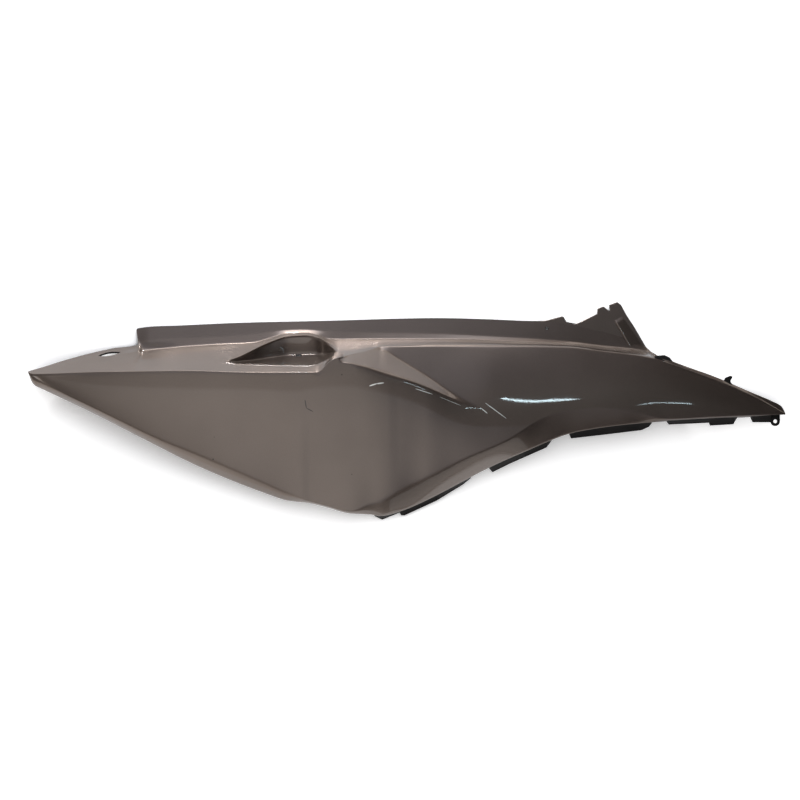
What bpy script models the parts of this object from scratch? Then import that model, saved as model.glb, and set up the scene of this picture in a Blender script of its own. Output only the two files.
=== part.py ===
# Side panel of a scooter: one moulded shell with a finger pocket in its shoulder
# Metres, +Z up. The panel lies on its inner side, painted face up:
# +X runs to the tail, +Y to the seat and +Z out of the scooter.
import math

import bmesh
import bpy
import numpy as np
from mathutils import Vector
from mathutils.bvhtree import BVHTree

# Driving dimensions
WALL = 0.0025
LIP_WALL = 0.0022
LIP_INSET = 0.003
LIP_SINK = 0.0015
FRONT_BULGE = 0.004
SIDE_BULGE = 0.0075
TAIL_BULGE = 0.002
BULGE_PLACES = (-0.40, -0.28, -0.10, 0.02, 0.11)
EDGE_BULGE = 0.0012
RAIL_GAP = 0.00015
STEEPEST = 0.3

BRACKET_THICKNESS = 0.0030
RIDGE_HEIGHT = 0.0022
RIDGE_NEAR = 0.0022
RIDGE_FAR = (0.0085, 0.0110)

NOSE_SLOT_CENTRE = (-0.3282, 0.0624)
NOSE_SLOT_LENGTH = 0.0256
NOSE_SLOT_HEIGHT = 0.0064
NOSE_SLOT_TURN = math.radians(15)

FLANGE_HOLE_CENTRE = (0.1549, 0.0915)
FLANGE_HOLE_DIAMETER = 0.004
DRAIN_CENTRE = (-0.1200, 0.0615)
DRAIN_LENGTH = 0.0074
DRAIN_HEIGHT = 0.0022

EAR_CENTRE = (0.4054, -0.0114)
EAR_DIAMETER = 0.0104
EAR_HOLE_DIAMETER = 0.0042
EAR_FACE = 0.0225
EAR_THICKNESS = 0.0030
EAR_REACH = 0.0095

BOSS_PLACES = ((-0.2112, -0.0290), (-0.0605, -0.0700))
BOSS_DIAMETER = 0.0100
BOSS_BORE = 0.0042
BOSS_FOOT = 0.0120
BOSS_FLOOR = 0.0040
LUG_THICKNESS = 0.0040

# Feature lines that run along the panel, as (x, y, height of the painted face)
TOP_EDGE = (
    (-0.4160, 0.0438, 0.0290), (-0.4037, 0.0473, 0.0250), (-0.3800, 0.0550, 0.0180),
    (-0.3531, 0.0627, 0.0110), (-0.3256, 0.0693, 0.0060), (-0.2996, 0.0741, 0.0034),
    (-0.2988, 0.0906, 0.0028), (-0.2497, 0.0943, 0.0028), (-0.1738, 0.0976, 0.0028),
    (-0.1001, 0.0992, 0.0028), (0.0363, 0.1025, 0.0028), (0.0913, 0.1011, 0.0028),
    (0.1430, 0.0992, 0.0028), (0.1639, 0.1000, 0.0028), (0.1749, 0.0985, 0.0028),
    (0.2123, 0.0905, 0.0028), (0.2398, 0.0825, 0.0028), (0.2560, 0.0760, 0.0030),
    (0.2622, 0.0729, 0.0045), (0.2695, 0.0658, 0.0170), (0.2761, 0.0602, 0.0300),
    (0.2923, 0.0540, 0.0330), (0.3124, 0.0466, 0.0330), (0.3348, 0.0388, 0.0320),
    (0.3795, 0.0198, 0.0290), (0.4023, 0.0102, 0.0270), (0.4123, 0.0046, 0.0260),
    (0.4160, -0.0022, 0.0260),
)
FLANGE_BEND = (
    (-0.4160, 0.0436, 0.0295), (-0.3800, 0.0534, 0.0200), (-0.3256, 0.0660, 0.0090),
    (-0.2996, 0.0704, 0.0060), (-0.2988, 0.0759, 0.0058), (-0.2134, 0.0820, 0.0058),
    (-0.1727, 0.0847, 0.0056), (-0.1320, 0.0897, 0.0050), (-0.1111, 0.0902, 0.0050),
    (-0.0880, 0.0880, 0.0055), (0.0363, 0.0856, 0.0060), (0.0913, 0.0828, 0.0060),
    (0.1793, 0.0774, 0.0048), (0.2086, 0.0732, 0.0044), (0.2486, 0.0689, 0.0050),
    (0.2695, 0.0627, 0.0220), (0.2761, 0.0589, 0.0325), (0.3124, 0.0451, 0.0340),
    (0.3795, 0.0181, 0.0300), (0.4160, -0.0024, 0.0262),
)
FLANGE_ROOT = (
    (-0.4160, 0.0433, 0.0300), (-0.3800, 0.0512, 0.0225), (-0.3003, 0.0660, 0.0090),
    (-0.2134, 0.0733, 0.0085), (-0.1705, 0.0754, 0.0085), (-0.1507, 0.0809, 0.0075),
    (-0.1320, 0.0862, 0.0070), (-0.1111, 0.0867, 0.0070), (-0.0979, 0.0838, 0.0080),
    (-0.0869, 0.0796, 0.0100), (-0.0770, 0.0778, 0.0110), (-0.0297, 0.0795, 0.0125),
    (0.0583, 0.0792, 0.0130), (0.1243, 0.0765, 0.0135), (0.1793, 0.0743, 0.0140),
    (0.2123, 0.0704, 0.0150), (0.2486, 0.0655, 0.0190), (0.2695, 0.0600, 0.0310),
    (0.3124, 0.0442, 0.0345), (0.3795, 0.0174, 0.0305), (0.4160, -0.0026, 0.0265),
)
CREASE = (
    (-0.4160, 0.0430, 0.0330), (-0.4109, 0.0407, 0.0350), (-0.3432, 0.0427, 0.0440),
    (-0.2827, 0.0436, 0.0515), (-0.2409, 0.0441, 0.0560), (-0.1617, 0.0422, 0.0630),
    (-0.0979, 0.0425, 0.0658), (-0.0817, 0.0554, 0.0645), (-0.0682, 0.0600, 0.0570),
    (-0.0354, 0.0686, 0.0385), (-0.0297, 0.0709, 0.0355), (0.0583, 0.0709, 0.0340),
    (0.1243, 0.0709, 0.0335), (0.1771, 0.0700, 0.0330), (0.2134, 0.0658, 0.0330),
    (0.2508, 0.0615, 0.0335), (0.2717, 0.0573, 0.0342), (0.3124, 0.0435, 0.0350),
    (0.3487, 0.0303, 0.0330), (0.3795, 0.0165, 0.0310), (0.4125, 0.0022, 0.0280),
    (0.4160, -0.0029, 0.0270),
)
FACET_TOP = (
    (-0.4160, 0.0428, 0.0330), (-0.4109, 0.0396, 0.0352), (-0.3432, 0.0405, 0.0442),
    (-0.2409, 0.0419, 0.0562), (-0.1617, 0.0400, 0.0632), (-0.0979, 0.0403, 0.0660),
    (-0.0817, 0.0532, 0.0647), (-0.0682, 0.0578, 0.0580), (-0.0354, 0.0664, 0.0390),
    (-0.0286, 0.0668, 0.0362), (-0.0055, 0.0545, 0.0385), (0.0248, 0.0363, 0.0425),
    (0.0521, 0.0180, 0.0450), (0.0803, 0.0055, 0.0450), (0.1078, 0.0000, 0.0445),
    (0.1562, 0.0154, 0.0435), (0.2123, 0.0231, 0.0420), (0.2695, 0.0187, 0.0392),
    (0.3124, 0.0121, 0.0372), (0.3773, 0.0028, 0.0322), (0.4160, -0.0031, 0.0270),
)
FACET_LOW = (
    (-0.4160, 0.0426, 0.0330), (-0.4109, 0.0385, 0.0352), (-0.3432, 0.0383, 0.0442),
    (-0.2409, 0.0397, 0.0562), (-0.1617, 0.0378, 0.0632), (-0.0979, 0.0381, 0.0660),
    (-0.0817, 0.0510, 0.0652), (-0.0682, 0.0517, 0.0650), (-0.0482, 0.0472, 0.0645),
    (-0.0209, 0.0372, 0.0630), (0.0065, 0.0289, 0.0595), (0.0294, 0.0189, 0.0560),
    (0.0583, 0.0062, 0.0515), (0.0709, 0.0016, 0.0495), (0.0913, -0.0039, 0.0468),
    (0.1078, -0.0072, 0.0455), (0.1562, 0.0066, 0.0440), (0.2123, 0.0149, 0.0428),
    (0.2695, 0.0099, 0.0395), (0.3124, 0.0055, 0.0370), (0.3773, 0.0000, 0.0320),
    (0.4160, -0.0032, 0.0270),
)
LOW_CREASE = (
    (-0.4160, 0.0424, 0.0310), (-0.4092, 0.0374, 0.0325), (-0.3777, 0.0198, 0.0345),
    (-0.3373, 0.0009, 0.0360), (-0.2868, -0.0231, 0.0360), (-0.2277, -0.0477, 0.0340),
    (-0.1569, -0.0779, 0.0290), (-0.1188, -0.0939, 0.0260), (-0.1056, -0.0985, 0.0235),
    (-0.0622, -0.1089, 0.0195), (-0.0407, -0.1012, 0.0225), (-0.0209, -0.0944, 0.0255),
    (0.0084, -0.0787, 0.0300), (0.0378, -0.0659, 0.0345), (0.0625, -0.0531, 0.0375),
    (0.0948, -0.0394, 0.0405), (0.1133, -0.0306, 0.0415), (0.1408, -0.0116, 0.0425),
    (0.1562, -0.0044, 0.0428), (0.1815, 0.0013, 0.0428), (0.2123, 0.0044, 0.0423),
    (0.2442, 0.0026, 0.0405), (0.2618, -0.0016, 0.0390), (0.2728, -0.0066, 0.0372),
    (0.2860, -0.0083, 0.0360), (0.3348, -0.0059, 0.0328), (0.3784, -0.0044, 0.0298),
    (0.4160, -0.0034, 0.0265),
)
LOW_EDGE = (
    (-0.4160, 0.0420, 0.0300), (-0.4125, 0.0322, 0.0285), (-0.4098, 0.0288, 0.0275),
    (-0.4015, 0.0246, 0.0272), (-0.3839, 0.0163, 0.0272), (-0.3685, 0.0091, 0.0275),
    (-0.3449, -0.0022, 0.0285), (-0.2868, -0.0319, 0.0275), (-0.2277, -0.0616, 0.0215),
    (-0.1569, -0.0902, 0.0180), (-0.1322, -0.0983, 0.0180), (-0.1057, -0.1019, 0.0190),
    (-0.0887, -0.1063, 0.0170), (-0.0622, -0.1130, 0.0150), (-0.0394, -0.1142, 0.0110),
    (-0.0297, -0.1159, 0.0090), (-0.0083, -0.1111, 0.0090), (0.0281, -0.0954, 0.0110),
    (0.0615, -0.0777, 0.0145), (0.0902, -0.0624, 0.0190), (0.1133, -0.0517, 0.0225),
    (0.1353, -0.0421, 0.0270), (0.1561, -0.0328, 0.0305), (0.1782, -0.0245, 0.0315),
    (0.1936, -0.0213, 0.0320), (0.2321, -0.0157, 0.0320), (0.2684, -0.0123, 0.0305),
    (0.2860, -0.0111, 0.0295), (0.3348, -0.0084, 0.0280), (0.3784, -0.0066, 0.0258),
    (0.4160, -0.0037, 0.0245),
)

# Lines of the finger pocket, in the same form
POCKET_RIM = (
    (-0.1884, 0.0646, 0.0250), (-0.1602, 0.0755, 0.0145), (-0.1452, 0.0807, 0.0110),
    (-0.1320, 0.0843, 0.0095), (-0.1111, 0.0847, 0.0095), (-0.0981, 0.0815, 0.0120),
    (-0.0881, 0.0763, 0.0190),
)
POCKET_WALL = (
    (-0.1884, 0.0576, 0.0310), (-0.1602, 0.0713, 0.0140), (-0.1452, 0.0770, 0.0095),
    (-0.1291, 0.0807, 0.0080), (-0.1133, 0.0814, 0.0080), (-0.1018, 0.0804, 0.0080),
    (-0.0926, 0.0748, 0.0120),
)
POCKET_BASE = (
    (-0.1884, 0.0546, 0.0340), (-0.1602, 0.0576, 0.0160), (-0.1452, 0.0594, 0.0110),
    (-0.1291, 0.0607, 0.0090), (-0.1018, 0.0627, 0.0090), (-0.0926, 0.0631, 0.0130),
)
POCKET_FRONT = (
    (-0.1884, 0.0510, 0.0500), (-0.1602, 0.0502, 0.0540), (-0.1133, 0.0491, 0.0565),
    (-0.1018, 0.0499, 0.0570), (-0.0926, 0.0535, 0.0560),
)
POCKET_START = -0.2013
POCKET_END = -0.0770
POCKET_LINES = (POCKET_RIM, POCKET_WALL, POCKET_BASE, POCKET_FRONT)
SHOULDER_SHARES = (0.45, 0.55, 0.65, 0.78)
REAR_RISES = (0.66, 0.76, 0.85, 0.93)
REAR_RUN = (-0.060, 0.020)

# Rows between neighbouring feature lines, from the top edge to the low edge
ROWS_BETWEEN = (1, 1, 2, 1, 1, 1, 1, 2, 1, 5, 2)

# Columns along the panel: (start, end, step)
COLUMN_RUNS = (
    (-0.4160, -0.2996, 0.0096), (-0.2988, -0.2040, 0.0095), (-0.2013, -0.0770, 0.0048),
    (-0.0682, 0.1100, 0.0085), (0.1190, 0.2900, 0.0090), (0.2990, 0.4160, 0.0117),
)

# Flat bracket at the top, as its outline from above
BRACKET_OUTLINE = (
    (0.1480, 0.0950), (0.1450, 0.0985), (0.1560, 0.1005), (0.1650, 0.1030),
    (0.1719, 0.1048), (0.1735, 0.1042), (0.1758, 0.0994), (0.1782, 0.0966),
    (0.1831, 0.0957), (0.1888, 0.0970), (0.2107, 0.1074), (0.2107, 0.1131),
    (0.2175, 0.1157), (0.2248, 0.1095), (0.2237, 0.1173), (0.2328, 0.1205),
    (0.2369, 0.1173), (0.2432, 0.1057), (0.2519, 0.0925), (0.2622, 0.0742),
    (0.2563, 0.0709), (0.2123, 0.0770), (0.1848, 0.0825), (0.1683, 0.0890),
)
BRACKET_RIDGE = ((0.2307, 0.1004), (0.2470, 0.0718))
TOP_LUG_OUTLINE = (
    (0.2706, 0.0567), (0.2728, 0.0606), (0.2827, 0.0615), (0.2882, 0.0589),
    (0.2926, 0.0536), (0.2871, 0.0506),
)
TOP_LUG_FOOT = 0.0290
HOOK_OUTLINE = (
    (0.3465, 0.0297), (0.3495, 0.0365), (0.3551, 0.0388), (0.3578, 0.0377),
    (0.3551, 0.0327), (0.3573, 0.0292), (0.3531, 0.0259),
)
HOOK_FOOT = 0.0275

# Lips under the low edge, as (x, y of the outer edge, height of the foot)
LIP_LINES = {
    "front": (
        (-0.0360, -0.1162, 0.0040), (-0.0275, -0.1205, 0.0000), (-0.0187, -0.1168, 0.0005),
        (-0.0079, -0.1124, 0.0030), (-0.0066, -0.1155, 0.0015), (-0.0028, -0.1157, 0.0015),
        (0.0324, -0.0995, 0.0030), (0.0619, -0.0814, 0.0060), (0.0709, -0.0739, 0.0090),
    ),
    "arch": (
        (0.0908, -0.0634, 0.0120), (0.0944, -0.0678, 0.0090), (0.1133, -0.0583, 0.0130),
        (0.1535, -0.0403, 0.0210), (0.1590, -0.0328, 0.0250),
    ),
    "rear": (
        (0.1784, -0.0257, 0.0260), (0.1804, -0.0303, 0.0230), (0.2123, -0.0267, 0.0230),
        (0.2585, -0.0211, 0.0220), (0.2662, -0.0174, 0.0230), (0.2691, -0.0136, 0.0250),
    ),
    "tail": (
        (0.2858, -0.0123, 0.0240), (0.2882, -0.0150, 0.0220), (0.3322, -0.0130, 0.0210),
        (0.3336, -0.0161, 0.0190), (0.3594, -0.0147, 0.0190), (0.3629, -0.0081, 0.0220),
    ),
    "end": (
        (0.3780, -0.0077, 0.0220), (0.3806, -0.0125, 0.0190), (0.4004, -0.0125, 0.0190),
    ),
}
CUT_FOOT = -0.01
CUT_HEIGHT = 0.12
ROUND_SIDES = 24


def clear_scene():
    for old in list(bpy.data.objects):
        bpy.data.objects.remove(old, do_unlink=True)


def paint_material():
    paint = bpy.data.materials.new("metallic_paint")
    paint.use_nodes = True
    shader = paint.node_tree.nodes["Principled BSDF"]
    shader.inputs["Base Color"].default_value = (0.085, 0.062, 0.050, 1.0)
    shader.inputs["Metallic"].default_value = 0.55
    shader.inputs["Roughness"].default_value = 0.35
    return paint


# Curve of one value through knots, without overshoot between them
def curve_through(knots, values, x):
    step = np.diff(knots)
    rise = np.diff(values) / step
    slopes = np.zeros(len(knots))
    slopes[0] = rise[0]
    slopes[-1] = rise[-1]
    same_way = rise[:-1] * rise[1:] > 0
    before = 2 * step[1:] + step[:-1]
    after = step[1:] + 2 * step[:-1]
    safe_left = np.where(same_way, rise[:-1], 1.0)
    safe_right = np.where(same_way, rise[1:], 1.0)
    inner = (before + after) / (before / safe_left + after / safe_right)
    slopes[1:-1] = np.where(same_way, inner, 0.0)
    place = np.clip(np.searchsorted(knots, x) - 1, 0, len(step) - 1)
    run = step[place]
    t = np.clip((x - knots[place]) / run, 0.0, 1.0)
    start_share = (1 + 2 * t) * (1 - t) ** 2
    end_share = t * t * (3 - 2 * t)
    curve = start_share * values[place] + end_share * values[place + 1]
    curve += t * (1 - t) ** 2 * run * slopes[place]
    curve -= t * t * (1 - t) * run * slopes[place + 1]
    return curve


def along(line, x):
    knots, across, height = np.array(line).T
    return np.array([curve_through(knots, across, x), curve_through(knots, height, x)])


# Lines between the flange and the crease: even shares in front, a rounded shoulder behind
def shoulder_line(share, rise, root, crease, x):
    rear = np.interp(x, REAR_RUN, (0.0, 1.0))
    across = root[0] + share * (crease[0] - root[0])
    height = root[1] + (share + rear * (rise - share)) * (crease[1] - root[1])
    return np.array([across, height])


# A pocket line keeps to the plain shoulder outside the pocket
def pocket_line(line, share, rise, root, crease, x):
    plain = shoulder_line(share, rise, root, crease, x)
    inside = (x > POCKET_START) & (x < POCKET_END)
    if not inside.any():
        return plain
    ends = np.array([POCKET_START, POCKET_END])
    plain_ends = shoulder_line(share, rise, along(FLANGE_ROOT, ends), along(CREASE, ends), ends)
    first = (POCKET_START, plain_ends[0][0], plain_ends[1][0])
    last = (POCKET_END, plain_ends[0][1], plain_ends[1][1])
    cut = along((first,) + line + (last,), x)
    return np.where(inside, cut, plain)


def feature_lines(x):
    root = along(FLANGE_ROOT, x)
    crease = along(CREASE, x)
    pocket = [
        pocket_line(line, share, rise, root, crease, x)
        for line, share, rise in zip(POCKET_LINES, SHOULDER_SHARES, REAR_RISES)
    ]
    above = [along(TOP_EDGE, x), along(FLANGE_BEND, x), root]
    below = [crease, along(FACET_TOP, x), along(FACET_LOW, x)]
    last = [along(LOW_CREASE, x), along(LOW_EDGE, x)]
    lines = above + pocket + below + last
    for upper, lower in zip(lines, lines[1:]):
        lower[0] = np.minimum(lower[0], upper[0] - RAIL_GAP)
    return lines


# Rows of the painted face: straight between lines, crowned on the side and the lower edge
def painted_face(x):
    lines = feature_lines(x)
    bulges = (0.0, FRONT_BULGE, SIDE_BULGE, SIDE_BULGE, TAIL_BULGE)
    crown = np.interp(x, BULGE_PLACES, bulges)
    rows = [lines[0]]
    last_span = len(ROWS_BETWEEN) - 1
    for span, count in enumerate(ROWS_BETWEEN):
        upper = lines[span]
        lower = lines[span + 1]
        for step in range(1, count + 1):
            share = step / count
            row = upper + share * (lower - upper)
            if span == last_span - 1:
                row[1] += 4 * share * (1 - share) * crown
            if span == last_span:
                row[1] += 4 * share * (1 - share) * EDGE_BULGE
            rows.append(row)
    across = np.array([row[0] for row in rows])
    height = np.array([row[1] for row in rows])
    return across, height


def column_places():
    runs = []
    for start, end, step in COLUMN_RUNS:
        count = max(2, int(round((end - start) / step)) + 1)
        runs.append(np.linspace(start, end, count))
    return np.concatenate(runs)


# Painted face and inner face, one wall apart along the surface's own normal
def skin_grids():
    x = column_places()
    across, height = painted_face(x)
    along_x = np.tile(x, (len(across), 1))
    outer = np.stack([along_x, across, height], axis=-1)
    run_along = np.gradient(outer, axis=1)
    run_across = np.gradient(outer, axis=0)
    facing = np.cross(run_across, run_along)
    length = np.linalg.norm(facing, axis=-1)
    upward = np.abs(facing[..., 2]) / np.maximum(length, 1e-12)
    inner = outer.copy()
    inner[..., 2] -= WALL / np.maximum(upward, STEEPEST)
    inner[..., 2] = np.maximum(inner[..., 2], 0.0)  # the panel lies on a flat surface
    return outer, inner


def make_object(name, points, faces):
    mesh = bpy.data.meshes.new(name)
    mesh.from_pydata([tuple(point) for point in points], [], faces)
    shape = bmesh.new()
    shape.from_mesh(mesh)
    bmesh.ops.recalc_face_normals(shape, faces=shape.faces)
    shape.to_mesh(mesh)
    shape.free()
    built = bpy.data.objects.new(name, mesh)
    bpy.context.collection.objects.link(built)
    return built


# Closed shell between the painted face and the inner face
def skin_object(outer, inner):
    rows, columns = outer.shape[:2]
    points = np.concatenate([outer.reshape(-1, 3), inner.reshape(-1, 3)])
    below = rows * columns
    faces = []
    for row in range(rows - 1):
        for column in range(columns - 1):
            a = row * columns + column
            b = a + 1
            c = b + columns
            d = a + columns
            faces.append((a, d, b))
            faces.append((b, d, c))
            faces.append((a + below, b + below, d + below))
            faces.append((b + below, c + below, d + below))
    rim = list(range(columns))
    rim += [row * columns + columns - 1 for row in range(1, rows)]
    rim += [(rows - 1) * columns + column for column in range(columns - 2, -1, -1)]
    rim += [row * columns for row in range(rows - 2, 0, -1)]
    for a, b in zip(rim, rim[1:] + rim[:1]):
        faces.append((a, b, b + below, a + below))
    return make_object("side_panel", points, faces)


def plate(name, outline, foot, thickness):
    count = len(outline)
    points = [(x, y, foot) for x, y in outline]
    points += [(x, y, foot + thickness) for x, y in outline]
    faces = [tuple(range(count))[::-1], tuple(range(count, 2 * count))]
    for a in range(count):
        b = (a + 1) % count
        faces.append((a, b, b + count, a + count))
    return make_object(name, points, faces)


def circle(centre, diameter, sides=ROUND_SIDES):
    angles = [2 * math.pi * step / sides for step in range(sides)]
    radius = diameter / 2
    return [(centre[0] + radius * math.cos(a), centre[1] + radius * math.sin(a)) for a in angles]


# Two arcs that meet in points, turned about the centre
def lens(centre, length, height, turn, steps=10):
    ends = [-length / 2 + length * step / steps for step in range(steps + 1)]
    top = [(u, height / 2 * (1 - (2 * u / length) ** 2)) for u in ends]
    bottom = [(u, -v) for u, v in reversed(top[1:-1])]
    outline = []
    for u, v in top + bottom:
        x = centre[0] + u * math.cos(turn) - v * math.sin(turn)
        y = centre[1] + u * math.sin(turn) + v * math.cos(turn)
        outline.append((x, y))
    return outline


# A lip starts inside the wall over the low edge and steps down and out from it
def lip(name, line):
    knots = np.array(line)
    x = knots[:, 0]
    across, height = painted_face(x)
    points = []
    for column, (place, outer_y, foot) in enumerate(line):
        edge = across[-1][column]
        inner_y = edge + LIP_INSET
        rising = across[::-1, column]
        skin = np.interp(inner_y, rising, height[::-1, column])
        root_top = skin - LIP_SINK
        outer_top = min(foot + LIP_WALL, root_top)
        reach = min(outer_y, edge - RAIL_GAP)
        points.append((place, inner_y, root_top))
        points.append((place, reach, outer_top))
        points.append((place, reach, outer_top - LIP_WALL))
        points.append((place, inner_y, root_top - LIP_WALL))
    faces = [(0, 1, 2, 3)]
    last = len(points) - 4
    faces.append((last + 3, last + 2, last + 1, last))
    for start in range(0, last, 4):
        for corner in range(4):
            other = (corner + 1) % 4
            faces.append((start + corner, start + 4 + corner, start + 4 + other, start + other))
    return make_object(name, points, faces)


def ear():
    radius = EAR_DIAMETER / 2
    steps = ROUND_SIDES // 2
    outline = []
    for step in range(steps + 1):
        angle = math.pi + math.pi * step / steps
        x = EAR_CENTRE[0] + radius * math.cos(angle)
        y = EAR_CENTRE[1] + radius * math.sin(angle)
        outline.append((x, y))
    outline.append((EAR_CENTRE[0] + radius, EAR_CENTRE[1] + EAR_REACH))
    outline.append((EAR_CENTRE[0] - radius, EAR_CENTRE[1] + EAR_REACH))
    return plate("ear", outline, EAR_FACE - EAR_THICKNESS, EAR_THICKNESS)


# A low ridge with one steep side and one long side that runs out to the bracket's edge
def bracket_ridge():
    start = Vector(BRACKET_RIDGE[0])
    end = Vector(BRACKET_RIDGE[1])
    along_ridge = (end - start).normalized()
    outward = Vector((-along_ridge.y, along_ridge.x))
    foot = BRACKET_THICKNESS / 2
    crest = BRACKET_THICKNESS + RIDGE_HEIGHT
    points = []
    for middle, far in zip((start, end), RIDGE_FAR):
        for reach, height in ((-RIDGE_NEAR, foot), (0.0, crest), (far, foot)):
            corner = middle + outward * reach
            points.append((corner.x, corner.y, height))
    faces = [(0, 1, 2), (5, 4, 3), (0, 3, 4, 1), (1, 4, 5, 2), (2, 5, 3, 0)]
    return make_object("bracket_ridge", points, faces)


# A hollow screw post whose head follows the inner face of the skin
def boss(name, centre, skin_tree):
    outer_ring = circle(centre, BOSS_DIAMETER)
    bore_ring = circle(centre, BOSS_BORE)
    heads = [skin_tree.ray_cast(Vector((x, y, 0.0)), Vector((0, 0, 1)))[0].z for x, y in outer_ring]
    middle = skin_tree.ray_cast(Vector((centre[0], centre[1], 0.0)), Vector((0, 0, 1)))[0].z
    bore_top = min(heads) - BOSS_FLOOR
    sink = WALL / 2
    count = ROUND_SIDES
    points = [(x, y, BOSS_FOOT) for x, y in outer_ring]
    points += [(x, y, head + sink) for (x, y), head in zip(outer_ring, heads)]
    points += [(x, y, BOSS_FOOT) for x, y in bore_ring]
    points += [(x, y, bore_top) for x, y in bore_ring]
    points.append((centre[0], centre[1], middle + sink))
    crown = len(points) - 1
    faces = [tuple(range(3 * count, 4 * count))]
    for a in range(count):
        b = (a + 1) % count
        faces.append((a, b, b + count, a + count))
        faces.append((a + count, b + count, crown))
        faces.append((a, a + 2 * count, b + 2 * count, b))
        faces.append((a + 2 * count, a + 3 * count, b + 3 * count, b + 2 * count))
    return make_object(name, points, faces)


def added_shapes(panel):
    skin = bmesh.new()
    skin.from_mesh(panel.data)
    skin_tree = BVHTree.FromBMesh(skin)
    skin.free()
    shapes = [plate("bracket", BRACKET_OUTLINE, 0.0, BRACKET_THICKNESS), bracket_ridge(), ear()]
    shapes.append(plate("top_lug", TOP_LUG_OUTLINE, TOP_LUG_FOOT, LUG_THICKNESS))
    shapes.append(plate("tail_hook", HOOK_OUTLINE, HOOK_FOOT, LUG_THICKNESS))
    for name, line in LIP_LINES.items():
        shapes.append(lip("lip_" + name, line))
    for number, centre in enumerate(BOSS_PLACES):
        shapes.append(boss("boss_" + str(number + 1), centre, skin_tree))
    return shapes


def cut_shapes():
    slot = lens(NOSE_SLOT_CENTRE, NOSE_SLOT_LENGTH, NOSE_SLOT_HEIGHT, NOSE_SLOT_TURN)
    half_length = DRAIN_LENGTH / 2
    half_height = DRAIN_HEIGHT / 2
    left = DRAIN_CENTRE[0] - half_length
    right = DRAIN_CENTRE[0] + half_length
    low = DRAIN_CENTRE[1] - half_height
    high = DRAIN_CENTRE[1] + half_height
    drain = [(left, low), (right, low), (right, high), (left, high)]
    outlines = {
        "nose_slot": slot,
        "flange_hole": circle(FLANGE_HOLE_CENTRE, FLANGE_HOLE_DIAMETER),
        "pocket_drain": drain,
        "ear_hole": circle(EAR_CENTRE, EAR_HOLE_DIAMETER),
    }
    return [plate(name, outline, CUT_FOOT, CUT_HEIGHT) for name, outline in outlines.items()]


def combine(panel, shape, operation):
    shape.hide_render = True
    shape.display_type = "WIRE"
    step = panel.modifiers.new(shape.name, "BOOLEAN")
    step.operation = operation
    step.solver = "EXACT"
    step.object = shape


def build():
    clear_scene()
    outer, inner = skin_grids()
    panel = skin_object(outer, inner)
    for shape in added_shapes(panel):
        combine(panel, shape, "UNION")
    for shape in cut_shapes():
        combine(panel, shape, "DIFFERENCE")
    panel.data.materials.append(paint_material())
    return panel


build()
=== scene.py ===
import math

import bmesh
import bpy
import numpy as np
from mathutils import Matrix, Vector


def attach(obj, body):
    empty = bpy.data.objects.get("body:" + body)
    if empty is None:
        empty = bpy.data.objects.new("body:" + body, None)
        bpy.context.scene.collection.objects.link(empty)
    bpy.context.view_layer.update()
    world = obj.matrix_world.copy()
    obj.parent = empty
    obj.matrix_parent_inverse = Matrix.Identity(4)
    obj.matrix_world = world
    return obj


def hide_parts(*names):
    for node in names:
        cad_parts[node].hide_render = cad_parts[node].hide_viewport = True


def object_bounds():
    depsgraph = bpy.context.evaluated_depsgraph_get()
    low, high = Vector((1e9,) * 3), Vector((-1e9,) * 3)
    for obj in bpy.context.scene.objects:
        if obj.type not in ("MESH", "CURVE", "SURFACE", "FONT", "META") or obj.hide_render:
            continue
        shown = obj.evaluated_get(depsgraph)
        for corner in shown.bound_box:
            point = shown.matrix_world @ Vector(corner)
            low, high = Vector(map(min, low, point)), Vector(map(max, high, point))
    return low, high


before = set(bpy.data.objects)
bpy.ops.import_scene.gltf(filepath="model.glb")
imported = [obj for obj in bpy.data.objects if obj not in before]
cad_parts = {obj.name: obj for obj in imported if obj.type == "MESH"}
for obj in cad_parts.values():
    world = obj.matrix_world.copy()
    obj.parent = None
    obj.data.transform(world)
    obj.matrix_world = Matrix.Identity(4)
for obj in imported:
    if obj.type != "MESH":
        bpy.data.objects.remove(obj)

cadBox = [list(corner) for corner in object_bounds()]
print("frame loaded, box", cadBox)

# Feature lines of the moulded skin, as (x, y, height of the painted face) in metres.
# They follow the solid's own lines, but are read on a much finer grid.
topEdge = (
    (-0.4160, 0.0438, 0.0290), (-0.4037, 0.0473, 0.0250), (-0.3800, 0.0550, 0.0180),
    (-0.3531, 0.0627, 0.0110), (-0.3256, 0.0693, 0.0060), (-0.2996, 0.0741, 0.0034),
    (-0.2988, 0.0906, 0.0028), (-0.2497, 0.0943, 0.0028), (-0.1738, 0.0976, 0.0028),
    (-0.1001, 0.0992, 0.0028), (0.0363, 0.1025, 0.0028), (0.0913, 0.1011, 0.0028),
    (0.1430, 0.0992, 0.0028), (0.1639, 0.1000, 0.0028), (0.1749, 0.0985, 0.0028),
    (0.2123, 0.0905, 0.0028), (0.2398, 0.0825, 0.0028), (0.2560, 0.0760, 0.0028),
    (0.2650, 0.0700, 0.0032), (0.2695, 0.0658, 0.0050), (0.2728, 0.0625, 0.0290),
    (0.2761, 0.0602, 0.0318),
    (0.2923, 0.0540, 0.0330), (0.3124, 0.0466, 0.0330), (0.3348, 0.0388, 0.0320),
    (0.3795, 0.0198, 0.0290), (0.4023, 0.0102, 0.0270), (0.4123, 0.0046, 0.0260),
    (0.4160, -0.0022, 0.0260),
)
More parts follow.
